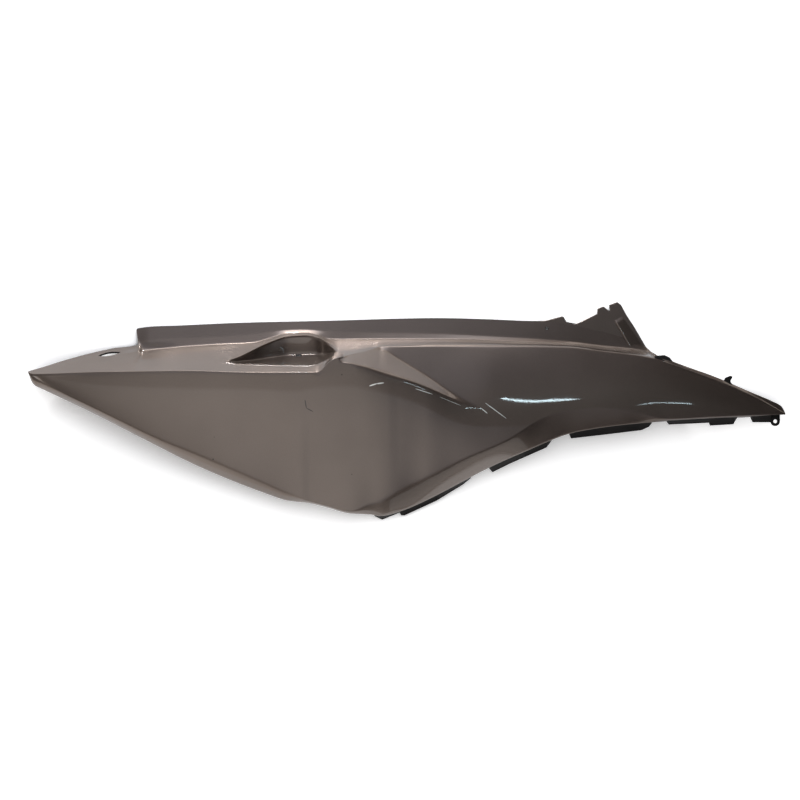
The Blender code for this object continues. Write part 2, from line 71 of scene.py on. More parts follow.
flangeBend = (
    (-0.4160, 0.0436, 0.0295), (-0.3800, 0.0534, 0.0206), (-0.3256, 0.0660, 0.0111),
    (-0.2996, 0.0704, 0.0089), (-0.2988, 0.0759, 0.0058), (-0.2134, 0.0820, 0.0058),
    (-0.1727, 0.0847, 0.0056), (-0.1320, 0.0897, 0.0050), (-0.1111, 0.0902, 0.0050),
    (-0.0880, 0.0880, 0.0055), (0.0363, 0.0856, 0.0060), (0.0913, 0.0828, 0.0060),
    (0.1793, 0.0774, 0.0048), (0.2086, 0.0732, 0.0044), (0.2486, 0.0689, 0.0050),
    (0.2640, 0.0655, 0.0060), (0.2695, 0.0632, 0.0090), (0.2728, 0.0605, 0.0310),
    (0.2761, 0.0589, 0.0328), (0.3124, 0.0451, 0.0340),
    (0.3795, 0.0181, 0.0300), (0.4160, -0.0024, 0.0262),
)
flangeRoot = (
    (-0.4160, 0.0433, 0.0300), (-0.3800, 0.0512, 0.0242), (-0.3256, 0.0613, 0.0183),
    (-0.3010, 0.0658, 0.0152), (-0.2965, 0.0664, 0.0098),
    (-0.2134, 0.0733, 0.0085), (-0.1705, 0.0754, 0.0085), (-0.1507, 0.0809, 0.0075),
    (-0.1320, 0.0862, 0.0070), (-0.1111, 0.0867, 0.0070), (-0.0979, 0.0838, 0.0080),
    (-0.0869, 0.0796, 0.0082), (-0.0770, 0.0790, 0.0080), (-0.0297, 0.0795, 0.0084),
    (0.0583, 0.0792, 0.0086), (0.1243, 0.0765, 0.0086), (0.1793, 0.0743, 0.0070),
    (0.2123, 0.0704, 0.0075), (0.2486, 0.0655, 0.0090), (0.2640, 0.0625, 0.0230),
    (0.2695, 0.0600, 0.0310),
    (0.3124, 0.0442, 0.0345), (0.3795, 0.0174, 0.0305), (0.4160, -0.0026, 0.0265),
)
crease = (
    (-0.4160, 0.0430, 0.0330), (-0.4109, 0.0407, 0.0350), (-0.3432, 0.0427, 0.0440),
    (-0.2827, 0.0436, 0.0515), (-0.2409, 0.0441, 0.0560), (-0.1617, 0.0422, 0.0630),
    (-0.0979, 0.0425, 0.0658), (-0.0817, 0.0554, 0.0645), (-0.0682, 0.0600, 0.0561),
    (-0.0354, 0.0686, 0.0369), (-0.0297, 0.0706, 0.0340), (0.0583, 0.0709, 0.0340),
    (0.1243, 0.0709, 0.0335), (0.1771, 0.0700, 0.0330), (0.2134, 0.0658, 0.0330),
    (0.2508, 0.0615, 0.0335), (0.2717, 0.0573, 0.0342), (0.3124, 0.0435, 0.0350),
    (0.3487, 0.0303, 0.0330), (0.3795, 0.0165, 0.0310), (0.4125, 0.0022, 0.0280),
    (0.4160, -0.0029, 0.0270),
)
facetTop = (
    (-0.4160, 0.0428, 0.0330), (-0.4109, 0.0396, 0.0352), (-0.3432, 0.0405, 0.0442),
    (-0.2409, 0.0419, 0.0562), (-0.1617, 0.0400, 0.0632), (-0.0979, 0.0403, 0.0660),
    (-0.0817, 0.0532, 0.0647), (-0.0682, 0.0578, 0.0580), (-0.0354, 0.0664, 0.0390),
    (-0.0286, 0.0668, 0.0362), (-0.0055, 0.0545, 0.0385), (0.0248, 0.0363, 0.0425),
    (0.0521, 0.0180, 0.0450), (0.0803, 0.0055, 0.0450), (0.1078, 0.0000, 0.0445),
    (0.1562, 0.0154, 0.0435), (0.2123, 0.0231, 0.0420), (0.2695, 0.0187, 0.0392),
    (0.3124, 0.0121, 0.0372), (0.3773, 0.0028, 0.0322), (0.4160, -0.0031, 0.0270),
)
facetLow = (
    (-0.4160, 0.0426, 0.0330), (-0.4109, 0.0385, 0.0352), (-0.3432, 0.0383, 0.0442),
    (-0.2409, 0.0397, 0.0562), (-0.1617, 0.0378, 0.0632), (-0.0979, 0.0381, 0.0660),
    (-0.0817, 0.0510, 0.0652), (-0.0682, 0.0520, 0.0650), (-0.0482, 0.0482, 0.0643),
    (-0.0209, 0.0392, 0.0622), (0.0065, 0.0318, 0.0586), (0.0294, 0.0228, 0.0548),
    (0.0583, 0.0096, 0.0500), (0.0709, 0.0046, 0.0482), (0.0913, -0.0014, 0.0458),
    (0.1078, -0.0050, 0.0446), (0.1562, 0.0066, 0.0440), (0.2123, 0.0149, 0.0428),
    (0.2695, 0.0099, 0.0395), (0.3124, 0.0055, 0.0370), (0.3773, 0.0000, 0.0320),
    (0.4160, -0.0032, 0.0270),
)
lowCrease = (
    (-0.4160, 0.0424, 0.0315), (-0.4092, 0.0374, 0.0332), (-0.3777, 0.0198, 0.0356),
    (-0.3373, 0.0009, 0.0367), (-0.2868, -0.0231, 0.0360), (-0.2277, -0.0477, 0.0340),
    (-0.1569, -0.0779, 0.0290), (-0.1188, -0.0939, 0.0260), (-0.1056, -0.0985, 0.0235),
    (-0.0622, -0.1089, 0.0195), (-0.0407, -0.1012, 0.0225), (-0.0209, -0.0944, 0.0255),
    (0.0084, -0.0787, 0.0300), (0.0378, -0.0659, 0.0345), (0.0625, -0.0531, 0.0375),
    (0.0948, -0.0394, 0.0405), (0.1133, -0.0306, 0.0415), (0.1408, -0.0116, 0.0425),
    (0.1562, -0.0044, 0.0420), (0.1815, 0.0013, 0.0414), (0.2123, 0.0044, 0.0403),
    (0.2442, 0.0026, 0.0388), (0.2618, -0.0016, 0.0378), (0.2728, -0.0066, 0.0368),
    (0.2860, -0.0083, 0.0360), (0.3348, -0.0059, 0.0328), (0.3784, -0.0044, 0.0298),
    (0.4160, -0.0034, 0.0265),
)
# The side's own upper line, which runs on under the corner of the crease
sideTop = (
    (-0.1200, 0.0383, 0.0655), (-0.0979, 0.0381, 0.0660), (-0.0600, 0.0380, 0.0655),
    (-0.0209, 0.0372, 0.0630), (0.0065, 0.0289, 0.0595),
)
lowEdge = (
    (-0.4160, 0.0420, 0.0300), (-0.4125, 0.0322, 0.0285), (-0.4098, 0.0288, 0.0275),
    (-0.4015, 0.0246, 0.0272), (-0.3839, 0.0163, 0.0272), (-0.3685, 0.0091, 0.0275),
    (-0.3449, -0.0022, 0.0285), (-0.2868, -0.0319, 0.0275), (-0.2277, -0.0616, 0.0215),
    (-0.1569, -0.0902, 0.0180), (-0.1322, -0.0983, 0.0180), (-0.1057, -0.1019, 0.0190),
    (-0.0887, -0.1063, 0.0170), (-0.0622, -0.1130, 0.0150), (-0.0394, -0.1142, 0.0110),
    (-0.0297, -0.1159, 0.0090), (-0.0083, -0.1111, 0.0090), (0.0281, -0.0954, 0.0110),
    (0.0615, -0.0777, 0.0145), (0.0902, -0.0624, 0.0190), (0.1133, -0.0517, 0.0225),
    (0.1353, -0.0421, 0.0270), (0.1561, -0.0328, 0.0305), (0.1782, -0.0245, 0.0315),
    (0.1936, -0.0213, 0.0320), (0.2321, -0.0157, 0.0320), (0.2684, -0.0123, 0.0305),
    (0.2860, -0.0111, 0.0295), (0.3348, -0.0084, 0.0280), (0.3784, -0.0066, 0.0258),
    (0.4160, -0.0037, 0.0245),
)
pocketRim = (
    (-0.1960, 0.0560, 0.0378), (-0.1884, 0.0582, 0.0330), (-0.1602, 0.0720, 0.0165),
    (-0.1452, 0.0784, 0.0130), (-0.1320, 0.0826, 0.0112), (-0.1111, 0.0837, 0.0110),
    (-0.0981, 0.0810, 0.0122), (-0.0881, 0.0760, 0.0188),
)
pocketWall = (
    (-0.1960, 0.0549, 0.0390), (-0.1884, 0.0569, 0.0318), (-0.1602, 0.0704, 0.0148),
    (-0.1452, 0.0767, 0.0118), (-0.1291, 0.0808, 0.0102), (-0.1133, 0.0816, 0.0100),
    (-0.1018, 0.0796, 0.0108), (-0.0926, 0.0745, 0.0140),
)
pocketBase = (
    (-0.1960, 0.0537, 0.0400), (-0.1884, 0.0543, 0.0312), (-0.1602, 0.0576, 0.0132),
    (-0.1452, 0.0600, 0.0085), (-0.1291, 0.0618, 0.0050), (-0.1018, 0.0628, 0.0050),
    (-0.0926, 0.0631, 0.0092),
)
pocketFront = (
    (-0.1960, 0.0527, 0.0430), (-0.1884, 0.0514, 0.0465), (-0.1602, 0.0502, 0.0525),
    (-0.1133, 0.0491, 0.0560), (-0.1018, 0.0499, 0.0565), (-0.0926, 0.0535, 0.0555),
)

skin = {
    "start": -0.4160,
    "end": 0.4160,
    "columns": 540,
    "fine": 1601,
    "weightSteps": 4001,
    "gather": ((-0.2985, 0.010, 3.0), (-0.14, 0.07, 0.6), (0.270, 0.008, 1.5)),
    "rows": (6, 7, 9, 7, 7, 8, 7, 16, 9, 18, 9),  # between neighbouring feature lines
    "wall": 0.0025,
    "steepest": 0.3,  # least upward share of the normal, so steep walls stay thin
    "dropBlur": 1.5,  # evens the wall's height, in rows and columns
    "topGap": 0.0001,  # the skin stays this far below the top of the solid's box
    "lineGap": 0.00015,
    "bulges": ((-0.41, 0.0), (-0.38, 0.0010), (-0.34, 0.0013), (-0.25, 0.0036), (-0.10, 0.0073),
               (-0.04, 0.0071), (0.02, 0.0052), (0.06, 0.0032), (0.11, 0.002)),
    "edgeBulge": 0.0012,
    "pocketStart": -0.2020,
    "pocketEnd": -0.0770,
    "shoulderShares": (0.45, 0.55, 0.65, 0.78),
    "rearRises": (0.66, 0.76, 0.85, 0.93),  # behind the pocket the shoulder rounds over
    "rearFrom": (-0.060, 0.020),
    "bulgeRun": 0.028,
    "sideRun": 0.018,  # the side's heights are evened out over this length
    "sideInland": ((-0.40, -0.36), (0.02, 0.08)),  # and only between these x
    "ownTop": ((-0.115, -0.100), (-0.021, -0.008)),  # where sideTop takes over as the upper line
    "ownReach": (-0.12, 0.0065),
    "cornerNear": ((-0.105, -0.095), (-0.075, -0.068)),  # here the crease lies on the side
    "cornerDrop": 0.0003,
    "sweepFade": (0.020, 0.096),
    "sweepEnd": (0.385, 0.41),  # up to here the crease is evened out for the sweep
    "sweepSlopes": ((0.02, 0.480), (0.091, 0.369), (0.125, 0.315), (0.156, 0.285), (0.244, 0.262),
                    (0.335, 0.160), (0.416, 0.060)),
    "sweepCurves": ((0.02, 3.55), (0.091, 2.75), (0.125, 2.50), (0.156, 2.40), (0.244, 2.90),
                    (0.335, 4.20), (0.416, 4.20)),
    "sweepRun": 0.025,
    "crispFade": 0.02,
    "crispTop": ((-0.33, -0.27), (0.22, 0.30), (0.39, 0.42)),
    "crispRoot": ((-0.31, -0.29), (-0.16, -0.075)),
    "crispCorner": ((-0.125, -0.025), (0.39, 0.42), (-0.42, -0.40)),
    "crispLow": ((-0.12, -0.04), (-0.42, -0.40)),
    "crispEdge": ((-0.14, 0.0), (0.22, 0.30), (-0.42, -0.395)),
    "softRun": 0.007,  # how far a line is evened out along the panel
    "crispRun": 0.0007,
    "pocketRun": 0.0015,
    "rowCrowding": 0.92,
    "rowEvenShare": 0.15,
    "rowBlur": 1.1,  # rounds the creases, in rows
    "rimRows": 3,
    "rimRound": 0.0003,
    "sharpFrom": 40,
}
creaseAt, facetTopAt, facetLowAt, lowCreaseAt = 7, 8, 9, 10  # their places among the feature lines


def curveThrough(knots, values, x):
    # Cubic pieces through the knots whose slopes are weighted harmonic means, so nothing overshoots
    step = np.diff(knots)
    rise = np.diff(values) / step
    sameWay = rise[:-1] * rise[1:] > 0
    left = np.where(sameWay, rise[:-1], 1.0)
    right = np.where(sameWay, rise[1:], 1.0)
    before = 2 * step[1:] + step[:-1]
    after = step[1:] + 2 * step[:-1]
    slopes = np.empty(len(knots))
    slopes[0], slopes[-1] = rise[0], rise[-1]
    slopes[1:-1] = np.where(sameWay, (before + after) / (before / left + after / right), 0.0)
    place = np.clip(np.searchsorted(knots, x) - 1, 0, len(step) - 1)
    run = step[place]
    t = np.clip((x - knots[place]) / run, 0.0, 1.0)
    start = (1 + 2 * t) * (1 - t) ** 2 * values[place] + t * t * (3 - 2 * t) * values[place + 1]
    return start + run * (t * (1 - t) ** 2 * slopes[place] - t * t * (1 - t) * slopes[place + 1])


def blur(values, sigma, axis):
    # Each value becomes the bell-curve average of its neighbours; odd mirroring keeps both ends in place
    reach = int(math.ceil(3 * sigma))
    if reach < 1:
        return values
    bell = np.exp(-0.5 * (np.arange(-reach, reach + 1) / sigma) ** 2)
    bell /= bell.sum()
    moved = np.moveaxis(values, axis, 0)
    head = 2 * moved[:1] - moved[1:reach + 1][::-1]
    tail = 2 * moved[-1:] - moved[-reach - 1:-1][::-1]
    padded = np.concatenate([head, moved, tail])
    total = sum(bell[k] * padded[k:k + len(moved)] for k in range(2 * reach + 1))
    return np.moveaxis(total, 0, axis)


def smoothStep(low, high, x):
    # 0 below low, 1 above high, and an S-shaped cubic between them
    t = np.clip((x - low) / (high - low), 0.0, 1.0)
    return t * t * (3 - 2 * t)


def plateau(rise, fall, x):
    # 0, up to 1 over the rise, and back to 0 over the fall
    return smoothStep(*rise, x) * (1 - smoothStep(*fall, x))


def readLine(line, x):
    # A feature line's y and height at every x
    knots, across, height = np.array(line).T
    return np.array([curveThrough(knots, across, x), curveThrough(knots, height, x)])


def along(line, x, crisp):
    # A feature line read at every x, evened out except in its crisp stretches
    plain = readLine(line, x)
    step = x[1] - x[0]
    even = blur(plain, skin["softRun"] / step, 1)
    tight = blur(plain, skin["crispRun"] / step, 1)
    share = np.zeros(len(x))
    fade = skin["crispFade"]
    for low, high in crisp:
        share = np.maximum(share, plateau((low - fade, low), (high, high + fade), x))
    return even + share * (tight - even)


def pocketLine(line, share, rise, root, top, x):
    # Inside the pocket the line is its own, and outside it is a share of the way up the shoulder
    rear = np.interp(x, skin["rearFrom"], (0.0, 1.0))
    shares = np.array([np.full(len(x), share), share + rear * (rise - share)])
    plain = root + shares * (top - root)
    first, last = skin["pocketStart"], skin["pocketEnd"]
    inside = (x > first) & (x < last)
    ends = [(at, np.interp(at, x, plain[0]), np.interp(at, x, plain[1])) for at in (first, last)]
    cut = readLine((ends[0],) + line + (ends[1],), x)
    return blur(np.where(inside, cut, plain), skin["pocketRun"] / (x[1] - x[0]), 1)


def featureLines(x):
    # All lines from the top edge to the low edge, each kept a hair below the one before
    root = along(flangeRoot, x, skin["crispRoot"])
    top = along(crease, x, skin["crispCorner"])
    lines = [along(topEdge, x, skin["crispTop"]), along(flangeBend, x, skin["crispTop"]), root]
    pocket = (pocketRim, pocketWall, pocketBase, pocketFront)
    for line, share, rise in zip(pocket, skin["shoulderShares"], skin["rearRises"]):
        lines.append(pocketLine(line, share, rise, root, top, x))
    lines += [top, along(facetTop, x, skin["crispCorner"]), along(facetLow, x, skin["crispCorner"])]
    lines += [along(lowCrease, x, skin["crispLow"]), along(lowEdge, x, skin["crispEdge"])]
    for upper, lower in zip(lines, lines[1:]):
        lower[0] = np.minimum(lower[0], upper[0] - skin["lineGap"])
    return lines


def paintedFace(x):
    # Straight rows between the lines plus a parabola on the side, then rounded across the rows
    lines = featureLines(x)
    bulge = np.interp(x, *np.array(skin["bulges"]).T)
    bulge = blur(bulge, skin["bulgeRun"] / (x[1] - x[0]), 0)
    fade = smoothStep(*skin["sweepFade"], x)
    top, facetLowest, low = lines[creaseAt], lines[facetLowAt], lines[lowCreaseAt]
    evened = blur(top[1], skin["sweepRun"] / (x[1] - x[0]), 0)
    top[1] += fade * (1 - smoothStep(*skin["sweepEnd"], x)) * (evened - top[1])
    low[1] += fade * (rearSweep(x, low[0], top) - low[1])
    facetLowest[1] = sideSheet(x, facetLowest[0], lines, bulge)
    near = plateau(*skin["cornerNear"], x)
    for line in (top, lines[facetTopAt]):
        line[1] += near * (facetLowest[1] - skin["cornerDrop"] - line[1])
    across, height = [lines[0][0]], [lines[0][1]]
    for span, count in enumerate(skin["rows"]):
        upper, lower = lines[span], lines[span + 1]
        for share in rowShares(span, count):
            row = upper + share * (lower - upper)
            if span == facetLowAt:
                row[1] = sideSheet(x, row[0], lines, bulge)
            if span == lowCreaseAt:
                row[1] += 4 * share * (1 - share) * skin["edgeBulge"]
            if creaseAt <= span <= facetLowAt:
                row[1] += fade * (rearSweep(x, row[0], top) - row[1])
            across.append(row[0])
            height.append(row[1])
    return np.array(across), np.array(height)


def rowShares(span, count):
    # On the shoulder a sine draws the rows to the feature lines, so that creases stay crisp. They are
    # even on the facet, and elsewhere part even and part a half cosine.
    even = np.arange(1, count + 1) / count
    if 1 <= span < creaseAt:
        return even - skin["rowCrowding"] * np.sin(2 * math.pi * even) / (2 * math.pi)
    if span == creaseAt:
        return even
    part = skin["rowEvenShare"]
    return part * even + (1 - part) * (0.5 - 0.5 * np.cos(math.pi * even))


def sideSheet(x, across, lines, bulge):
    # Height of the side at y: straight from its upper line to the low crease, plus a parabola
    step = x[1] - x[0]
    smooth = blur(readLine(sideTop, np.clip(x, *skin["ownReach"])), skin["softRun"] / step, 1)
    top = lines[facetLowAt] + plateau(*skin["ownTop"], x) * (smooth - lines[facetLowAt])
    inland = plateau(*skin["sideInland"], x)
    topHeight = top[1] + inland * (blur(top[1], skin["sideRun"] / step, 0) - top[1])
    low = lines[lowCreaseAt]
    share = (top[0] - across) / (top[0] - low[0])
    return topHeight + share * (low[1] - topHeight) + 4 * share * (1 - share) * bulge


def rearSweep(x, across, top):
    # Behind the facet the face is one sweep: a parabola that starts at the crease
    step = x[1] - x[0]
    slope = blur(np.interp(x, *np.array(skin["sweepSlopes"]).T), skin["sweepRun"] / step, 0)
    curve = blur(np.interp(x, *np.array(skin["sweepCurves"]).T), skin["sweepRun"] / step, 0)
    run = np.maximum(top[0] - across, 0.0)
    return top[1] + slope * run - curve * run ** 2


flangeEnd = {
    "x": -0.2992,
    "top": 0.0906,
    "fadeOut": (0.052, 0.064),  # the lean fades below these y
    "shift": -0.0014,
    "lean": 0.25,
    "leanDepth": 0.03,  # the lean grows no further than this far down
    "reach": 0.028,
    "flangeFrom": (0.070, 0.076),
    "foldAt": -0.283,
    "foldStart": 0.002,
    "foldFlat": 0.004,
    "foldLift": 0.0016,
    "foldRun": 0.035,
}


def leanFlangeEnd(outer):
    # Columns near the flange's left end move right by an amount that grows down the flange
    x, y = outer[..., 0].copy(), outer[..., 1]
    depth = np.clip(flangeEnd["top"] - y, 0.0, flangeEnd["leanDepth"])
    amount = flangeEnd["shift"] + flangeEnd["lean"] * depth
    near = np.exp(-((x - flangeEnd["x"]) / flangeEnd["reach"]) ** 2)
    outer[..., 0] += amount * near * smoothStep(*flangeEnd["fadeOut"], y)
    # Right of the fold the flange stands a little higher, so that its end slopes to the left
    fold = flangeEnd["foldAt"]
    rise = (flangeEnd["x"] - flangeEnd["foldStart"], fold)
    fall = (fold + flangeEnd["foldFlat"], fold + flangeEnd["foldRun"])
    onFlange = smoothStep(*flangeEnd["flangeFrom"], y)
    outer[..., 2] += flangeEnd["foldLift"] * plateau(rise, fall, outer[..., 0]) * onFlange
    return outer


def columnPlaces():
    # Columns stand closer where the weight, one plus bell curves, is higher
    fine = np.linspace(skin["start"], skin["end"], skin["weightSteps"])
    weight = np.ones(len(fine))
    for centre, width, gain in skin["gather"]:
        weight += gain * np.exp(-((fine - centre) / width) ** 2)
    total = np.concatenate([[0.0], np.cumsum((weight[1:] + weight[:-1]) / 2)])
    return np.interp(np.linspace(0, total[-1], skin["columns"]), total, fine)


def skinGrids():
    # The inner face lies one wall below the painted face, measured along the normal
    fine = np.linspace(skin["start"], skin["end"], skin["fine"])
    across, height = paintedFace(fine)
    x = columnPlaces()
    across = np.array([np.interp(x, fine, row) for row in across])
    height = np.array([np.interp(x, fine, row) for row in height])
    across = blur(across, skin["rowBlur"], 0)
    height = blur(height, skin["rowBlur"], 0)
    outer = np.stack([np.tile(x, (len(across), 1)), across, height], axis=-1)
    outer = leanFlangeEnd(outer)
    outer[..., 2] = np.minimum(outer[..., 2], cadBox[1][2] - skin["topGap"])
    facing = np.cross(np.gradient(outer, axis=0), np.gradient(outer, axis=1))
    upward = np.abs(facing[..., 2]) / np.maximum(np.linalg.norm(facing, axis=-1), 1e-12)
    drop = skin["wall"] / np.maximum(upward, skin["steepest"])
    drop = blur(blur(drop, skin["dropBlur"], 0), skin["dropBlur"], 1)
    inner = outer.copy()
    inner[..., 2] = np.maximum(outer[..., 2] - drop, 0.0)
    return outer, inner


def roundRim(upper, lower, outward):
    # Half an ellipse from the painted face to the inner face
    middle, half = (upper + lower) / 2, (upper - lower) / 2
    turns = math.pi * np.arange(1, skin["rimRows"] + 1) / (skin["rimRows"] + 1)
    return [middle + half * math.cos(turn) + outward * skin["rimRound"] * math.sin(turn) for turn in turns]


def rimDirection(edge, inside):
    # Level unit vectors that point out of the panel across its edge
    away = edge - inside
    away[:, 2] = 0.0
    return away / np.maximum(np.linalg.norm(away, axis=1, keepdims=True), 1e-9)


def meshFrom(name, points, quads, extra=()):
    # An object made of points and four-cornered faces, and any extra faces with more corners
    mesh = bpy.data.meshes.new(name)
    faces = [tuple(face) for face in quads.tolist()] + [tuple(face) for face in extra]
    mesh.from_pydata(points.tolist(), [], faces)
    mesh.update()
    piece = bpy.data.objects.new(name, mesh)
    bpy.context.collection.objects.link(piece)
    return piece


def loopGrid(name, loops, materials, splitAt):
    # Closed loops of points, one for each column, joined to a tube with both ends filled
    columns, count = loops.shape[:2]
    index = np.arange(columns * count).reshape(columns, count)
    here, there = index[:-1], index[1:]
    quads = np.stack([here, np.roll(here, -1, 1), np.roll(there, -1, 1), there], axis=-1).reshape(-1, 4)
    caps = [index[0][::-1].tolist(), index[-1].tolist()]
    piece = meshFrom(name, loops.reshape(-1, 3), quads, caps)
    for material in materials:
        piece.data.materials.append(material)
    slots = np.tile((np.arange(count) >= splitAt).astype(np.int32), columns - 1)
    slots = np.concatenate([slots, [1, 1]])
    piece.data.polygons.foreach_set("material_index", slots)
    fixFacing(piece)
    return piece


def fixFacing(piece):
    # Turns every face outward
    shape = bmesh.new()
    shape.from_mesh(piece.data)
    bmesh.ops.recalc_face_normals(shape, faces=shape.faces)
    shape.to_mesh(piece.data)
    shape.free()


def closedGrid(name, loops, material):
    # Loops of points joined into a ring: the last meets the first
    columns, count = loops.shape[:2]
    index = np.arange(columns * count).reshape(columns, count)
    ahead = np.roll(index, -1, 0)
    quads = np.stack([index, np.roll(index, -1, 1), np.roll(ahead, -1, 1), ahead], axis=-1).reshape(-1, 4)
    piece = meshFrom(name, loops.reshape(-1, 3), quads)
    piece.data.materials.append(material)
    fixFacing(piece)
    return piece


def softEdges(piece, degrees):
    # Smooth shading, but sharp where two faces turn by more than these degrees
    piece.data.shade_smooth()
    piece.data.set_sharp_from_angle(angle=math.radians(degrees))


def makeSkin(outer, inner, paint, plastic):
    # Down the painted face, round the low rim, back up every second row of the inner face
    top = roundRim(outer[0], inner[0], rimDirection(outer[0], outer[1]))
    low = roundRim(outer[-1], inner[-1], rimDirection(outer[-1], outer[-2]))
    under = inner[np.unique(np.append(np.arange(0, len(inner), 2), len(inner) - 1))]
    ring = list(outer) + low + list(under[::-1]) + top[::-1]
    loops = np.stack(ring, axis=1)
    loops[..., 0] = np.clip(loops[..., 0], skin["start"], skin["end"])
    splitAt = len(outer) + skin["rimRows"]
    return loopGrid("panelSkin", loops, (paint, plastic), splitAt)


holes = {
    "noseSlot": {"centre": (-0.3282, 0.0624), "length": 0.0256, "height": 0.0100, "turn": 15, "lean": 0.95},
    "flangeHole": {"centre": (0.1549, 0.0915), "diameter": 0.004},
    "drain": {"centre": (-0.1200, 0.0615), "length": 0.0074, "height": 0.0022},
    "foot": -0.01,
    "top": 0.08,
    "leanHeight": 0.0145,  # a leaning cutter has its true outline at this height
}


def lensOutline(data, steps=24):
    # Two parabolas that meet in points, turned about the centre
    u = np.linspace(-1, 1, steps + 1)
    top = np.stack([u * data["length"] / 2, data["height"] / 2 * (1 - u * u)], axis=1)
    bottom = top[1:-1][::-1] * (1, -1)
    flat = np.concatenate([top, bottom])
    turn = math.radians(data["turn"])
    spin = np.array([[math.cos(turn), math.sin(turn)], [-math.sin(turn), math.cos(turn)]])
    return flat @ spin + data["centre"]


def circleOutline(centre, diameter, sides=40):
    # Even steps round a circle
    turns = 2 * math.pi * np.arange(sides) / sides
    return np.stack([np.cos(turns), np.sin(turns)], axis=1) * diameter / 2 + centre


def slotOutline(data, sides=10):
    # A straight slot with round ends
    radius = data["height"] / 2
    turns = math.pi * (np.arange(sides + 1) / sides - 0.5)
    right = np.stack([np.cos(turns) * radius + data["length"] / 2 - radius, np.sin(turns) * radius], axis=1)
    return np.concatenate([right, -right]) + data["centre"]


def prism(name, outline, foot, top, lean=0.0):
    # The outline at two heights, with walls between and both ends filled; lean moves y with height
    count = len(outline)
    low = np.column_stack([outline + (0.0, lean * (foot - holes["leanHeight"])), np.full(count, foot)])
    high = np.column_stack([outline + (0.0, lean * (top - holes["leanHeight"])), np.full(count, top)])
    base = np.arange(count)
    ahead = np.roll(base, -1)
    quads = np.stack([base, ahead, ahead + count, base + count], axis=1)
    caps = [base[::-1].tolist(), (base + count).tolist()]
    piece = meshFrom(name, np.concatenate([low, high]), quads, caps)
    fixFacing(piece)
    return piece


def cutHoles(piece, outlines, material):
    # Takes a prism of each outline out of the piece
    for number, (outline, lean) in enumerate(outlines):
        cutter = prism("cutter" + str(number), outline, holes["foot"], holes["top"], lean)
        cutter.data.materials.append(material)
        step = piece.modifiers.new("hole" + str(number), "BOOLEAN")
        step.operation = "DIFFERENCE"
        step.solver = "EXACT"
        step.object = cutter
        bpy.context.view_layer.objects.active = piece
        bpy.ops.object.modifier_apply(modifier=step.name)
        bpy.data.objects.remove(cutter, do_unlink=True)


def keep(piece):
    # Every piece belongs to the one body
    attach(piece, "root")


def mathNode(tree, operation, first, second=0.0):
    # One step of arithmetic on numbers or on what other nodes give
    node = tree.nodes.new("ShaderNodeMath")
    node.operation = operation
    for socket, value in zip(node.inputs, (first, second)):
        if isinstance(value, (int, float)):
            socket.default_value = value
        else:
            tree.links.new(value, socket)
    return node.outputs[0]


def vectorNode(tree, operation, first, second=None, output="Vector"):
    # One step of arithmetic on vectors
    node = tree.nodes.new("ShaderNodeVectorMath")
    node.operation = operation
    for socket, value in zip(node.inputs, (first, second)):
        if isinstance(value, tuple):
            socket.default_value = value
        elif value is not None:
            tree.links.new(value, socket)
    return node.outputs[output]


def rampNode(tree, value, low, high, start=0.0, end=1.0, kind="SMOOTHSTEP"):
    # A step from start to end between low and high, S-shaped unless kind says otherwise
    node = tree.nodes.new("ShaderNodeMapRange")
    node.interpolation_type = kind
    tree.links.new(value, node.inputs["Value"])
    for label, number in zip(("From Min", "From Max", "To Min", "To Max"), (low, high, start, end)):
        node.inputs[label].default_value = number
    return node.outputs["Result"]


def noiseNode(tree, position, scale, detail):
    # Cloudy noise, about 0.5 on average
    node = tree.nodes.new("ShaderNodeTexNoise")
    tree.links.new(position, node.inputs["Vector"])
    node.inputs["Scale"].default_value = scale
    node.inputs["Detail"].default_value = detail
    return node.outputs["Fac"]


def objectPlace(tree):
    # Where the shaded point lies, in metres
    return tree.nodes.new("ShaderNodeTexCoord").outputs["Object"]


def splitNode(tree, vector):
    # The vector's outputs X, Y and Z
    node = tree.nodes.new("ShaderNodeSeparateXYZ")
    tree.links.new(vector, node.inputs[0])
    return node.outputs


def bumpNode(tree, height, strength, distance):
    # A normal that leans with the slope of the height
    node = tree.nodes.new("ShaderNodeBump")
    node.inputs["Strength"].default_value = strength
    node.inputs["Distance"].default_value = distance
    tree.links.new(height, node.inputs["Height"])
    return node.outputs[0]


def newMaterial(name):
    # A material with its node tree and its surface shader
    material = bpy.data.materials.new(name)
    material.use_nodes = True
    tree = material.node_tree
    return material, tree, tree.nodes["Principled BSDF"]


def newGroup(name, inputs, outputs):
    # An empty group with the sockets that it takes in and puts out
    tree = bpy.data.node_groups.new(name, "ShaderNodeTree")
    for label, kind in inputs:
        tree.interface.new_socket(name=label, in_out="INPUT", socket_type=kind)
    for label, kind in outputs:
        tree.interface.new_socket(name=label, in_out="OUTPUT", socket_type=kind)
    return tree, tree.nodes.new("NodeGroupInput"), tree.nodes.new("NodeGroupOutput")


def useGroup(tree, group, **sockets):
    # A group in use, each of its sockets given a number or what another node gives
    node = tree.nodes.new("ShaderNodeGroup")
    node.node_tree = group
    for label, value in sockets.items():
        if isinstance(value, (int, float, tuple)):
            node.inputs[label].default_value = value
        else:
            tree.links.new(value, node.inputs[label])
    return node


